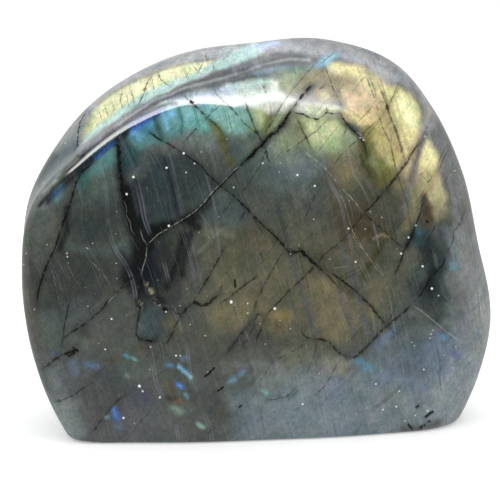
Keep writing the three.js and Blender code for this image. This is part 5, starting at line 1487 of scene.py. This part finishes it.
# The table is matt white and glows a little, so it stays pale up to the stone.
tableLook = {"size": 6, "white": 0.9, "roughness": 0.9, "glow": 0.35}
bpy.ops.object.select_all(action="DESELECT")
bpy.ops.mesh.primitive_plane_add(size=tableLook["size"], location=(0, 0, 0))
table = bpy.context.object
table.name = "pale_table"
tableFinish = bpy.data.materials.new("matt white table")
tableTree = emptyTree(tableFinish)
tableShader = addNode(tableTree, "BsdfPrincipled", {
    "Base Color": (*[tableLook["white"]] * 3, 1), "Roughness": tableLook["roughness"],
    "Emission Color": (1, 1, 1, 1), "Emission Strength": tableLook["glow"]})
addNode(tableTree, "OutputMaterial", {"Surface": tableShader})
table.data.materials.append(tableFinish)
table.visible_glossy = False

# Long softbox over the table, in metres: it lights the gloss alone and fades backwards.
softbox = {"height": 0.6, "left": -0.68, "right": 0.25, "front": -0.38, "back": 0.16,
           "fullTo": -0.26, "goneAt": -0.02, "brightness": 12}
bpy.ops.mesh.primitive_plane_add(size=1, location=(0, 0, 0))
bpy.ops.transform.resize(value=(softbox["right"] - softbox["left"], softbox["back"] - softbox["front"], 1))
bpy.ops.transform.translate(value=((softbox["left"] + softbox["right"]) / 2,
                                   (softbox["front"] + softbox["back"]) / 2, softbox["height"]))
bpy.ops.object.transform_apply(location=True, rotation=True, scale=True)
card = bpy.context.object
card.name = "softbox_card"
cardFinish = bpy.data.materials.new("glowing diffuser cloth")
cardTree = emptyTree(cardFinish)
cardPlace = addNode(cardTree, "TexCoord")
cardSplit = addNode(cardTree, "SeparateXYZ", {0: cardPlace.outputs["Object"]})
cardFade = addNode(cardTree, "MapRange", {
    "Value": cardSplit.outputs["Y"], "From Min": softbox["fullTo"], "From Max": softbox["goneAt"],
    "To Min": softbox["brightness"], "To Max": 0}, interpolation_type="SMOOTHSTEP")
cardGlow = addNode(cardTree, "Emission", {"Color": (1, 1, 1, 1), "Strength": cardFade})
addNode(cardTree, "OutputMaterial", {"Surface": cardGlow})
card.data.materials.append(cardFinish)
for unseen in ("visible_camera", "visible_diffuse", "visible_shadow", "visible_transmission"):
    setattr(card, unseen, False)

# Soft fill from above, in metres, left out of the gloss.
topFill = {"place": (0, -0.1, 0.9), "aim": (0, 0, 0.04), "size": (1, 1), "strength": 1}
fill = bpy.data.lights.new("top_fill", "AREA")
fill.shape = "RECTANGLE"
fill.size, fill.size_y = topFill["size"]
fill.energy = topFill["strength"] * fill.size * fill.size_y * math.pi
lamp = bpy.data.objects.new("top_fill", fill)
bpy.context.scene.collection.objects.link(lamp)
lamp.location = topFill["place"]
lamp.rotation_euler = (Vector(topFill["aim"]) - lamp.location).to_track_quat("-Z", "Y").to_euler()
lamp.visible_glossy = False
lamp.visible_camera = False

# White room: even light on matt surfaces; in the gloss a pale horizon behind the stone, haze from below.
room = {"even": 0.75, "backdrop": 1.1, "dark": 0.03, "bright": 0.5,
        "behind": (-0.35, 0.1), "horizon": (0.2, 0.5), "below": (-0.55, -0.2)}
world = bpy.data.worlds.new("studio")
bpy.context.scene.world = world
roomTree = emptyTree(world)
ray = addNode(roomTree, "LightPath")
coord = addNode(roomTree, "TexCoord")
split = addNode(roomTree, "SeparateXYZ", {0: coord.outputs["Generated"]})
bands = []
for name, axis, least, most in (("behind", "Y", 0, 1), ("horizon", "Z", 1, 0), ("below", "Z", 1, 0)):
    bands.append(addNode(roomTree, "MapRange", {
        "Value": split.outputs[axis], "From Min": room[name][0], "From Max": room[name][1],
        "To Min": least, "To Max": most}, interpolation_type="SMOOTHSTEP"))
sweep = addNode(roomTree, "Math", {0: bands[0], 1: bands[1]}, operation="MULTIPLY")
brightest = addNode(roomTree, "Math", {0: sweep, 1: bands[2]}, operation="MAXIMUM")
inGloss = addNode(roomTree, "MapRange", {
    "Value": brightest, "To Min": room["dark"], "To Max": room["bright"]})
shown = addNode(roomTree, "Mix", {"Factor": ray.outputs["Is Glossy Ray"], 2: room["even"], 3: inGloss})
shown = addNode(roomTree, "Mix", {"Factor": ray.outputs["Is Camera Ray"], 2: shown, 3: room["backdrop"]})
background = addNode(roomTree, "Background", {"Color": (1, 1, 1, 1), "Strength": shown})
addNode(roomTree, "OutputWorld", {"Surface": background})

# Camera along the line of sight, in mm; `nearest` is in metres.
cameraSetup = {"frameWidth": 120, "aside": -1.2, "lower": 4.44, "sensor": 36, "nearest": 0.01}
tilt = math.radians(sight["elevation"])
forward = Vector((0, math.cos(tilt), -math.sin(tilt)))
upward = Vector((0, math.sin(tilt), math.cos(tilt)))
eye = (Vector(sight["target"]) - forward * sight["distance"]
       + Vector((cameraSetup["aside"], 0, 0)) - upward * cameraSetup["lower"])
camera = bpy.data.objects.new("camera", bpy.data.cameras.new("camera"))
bpy.context.scene.collection.objects.link(camera)
camera.data.sensor_width = cameraSetup["sensor"]
camera.data.lens = cameraSetup["sensor"] * sight["distance"] / cameraSetup["frameWidth"]
camera.data.clip_start = cameraSetup["nearest"]
camera.location = eye * mm
camera.rotation_euler = forward.to_track_quat("-Z", "Y").to_euler()
bpy.context.scene.camera = camera
bpy.context.scene.view_settings.view_transform = "Standard"
print("studio: ready")
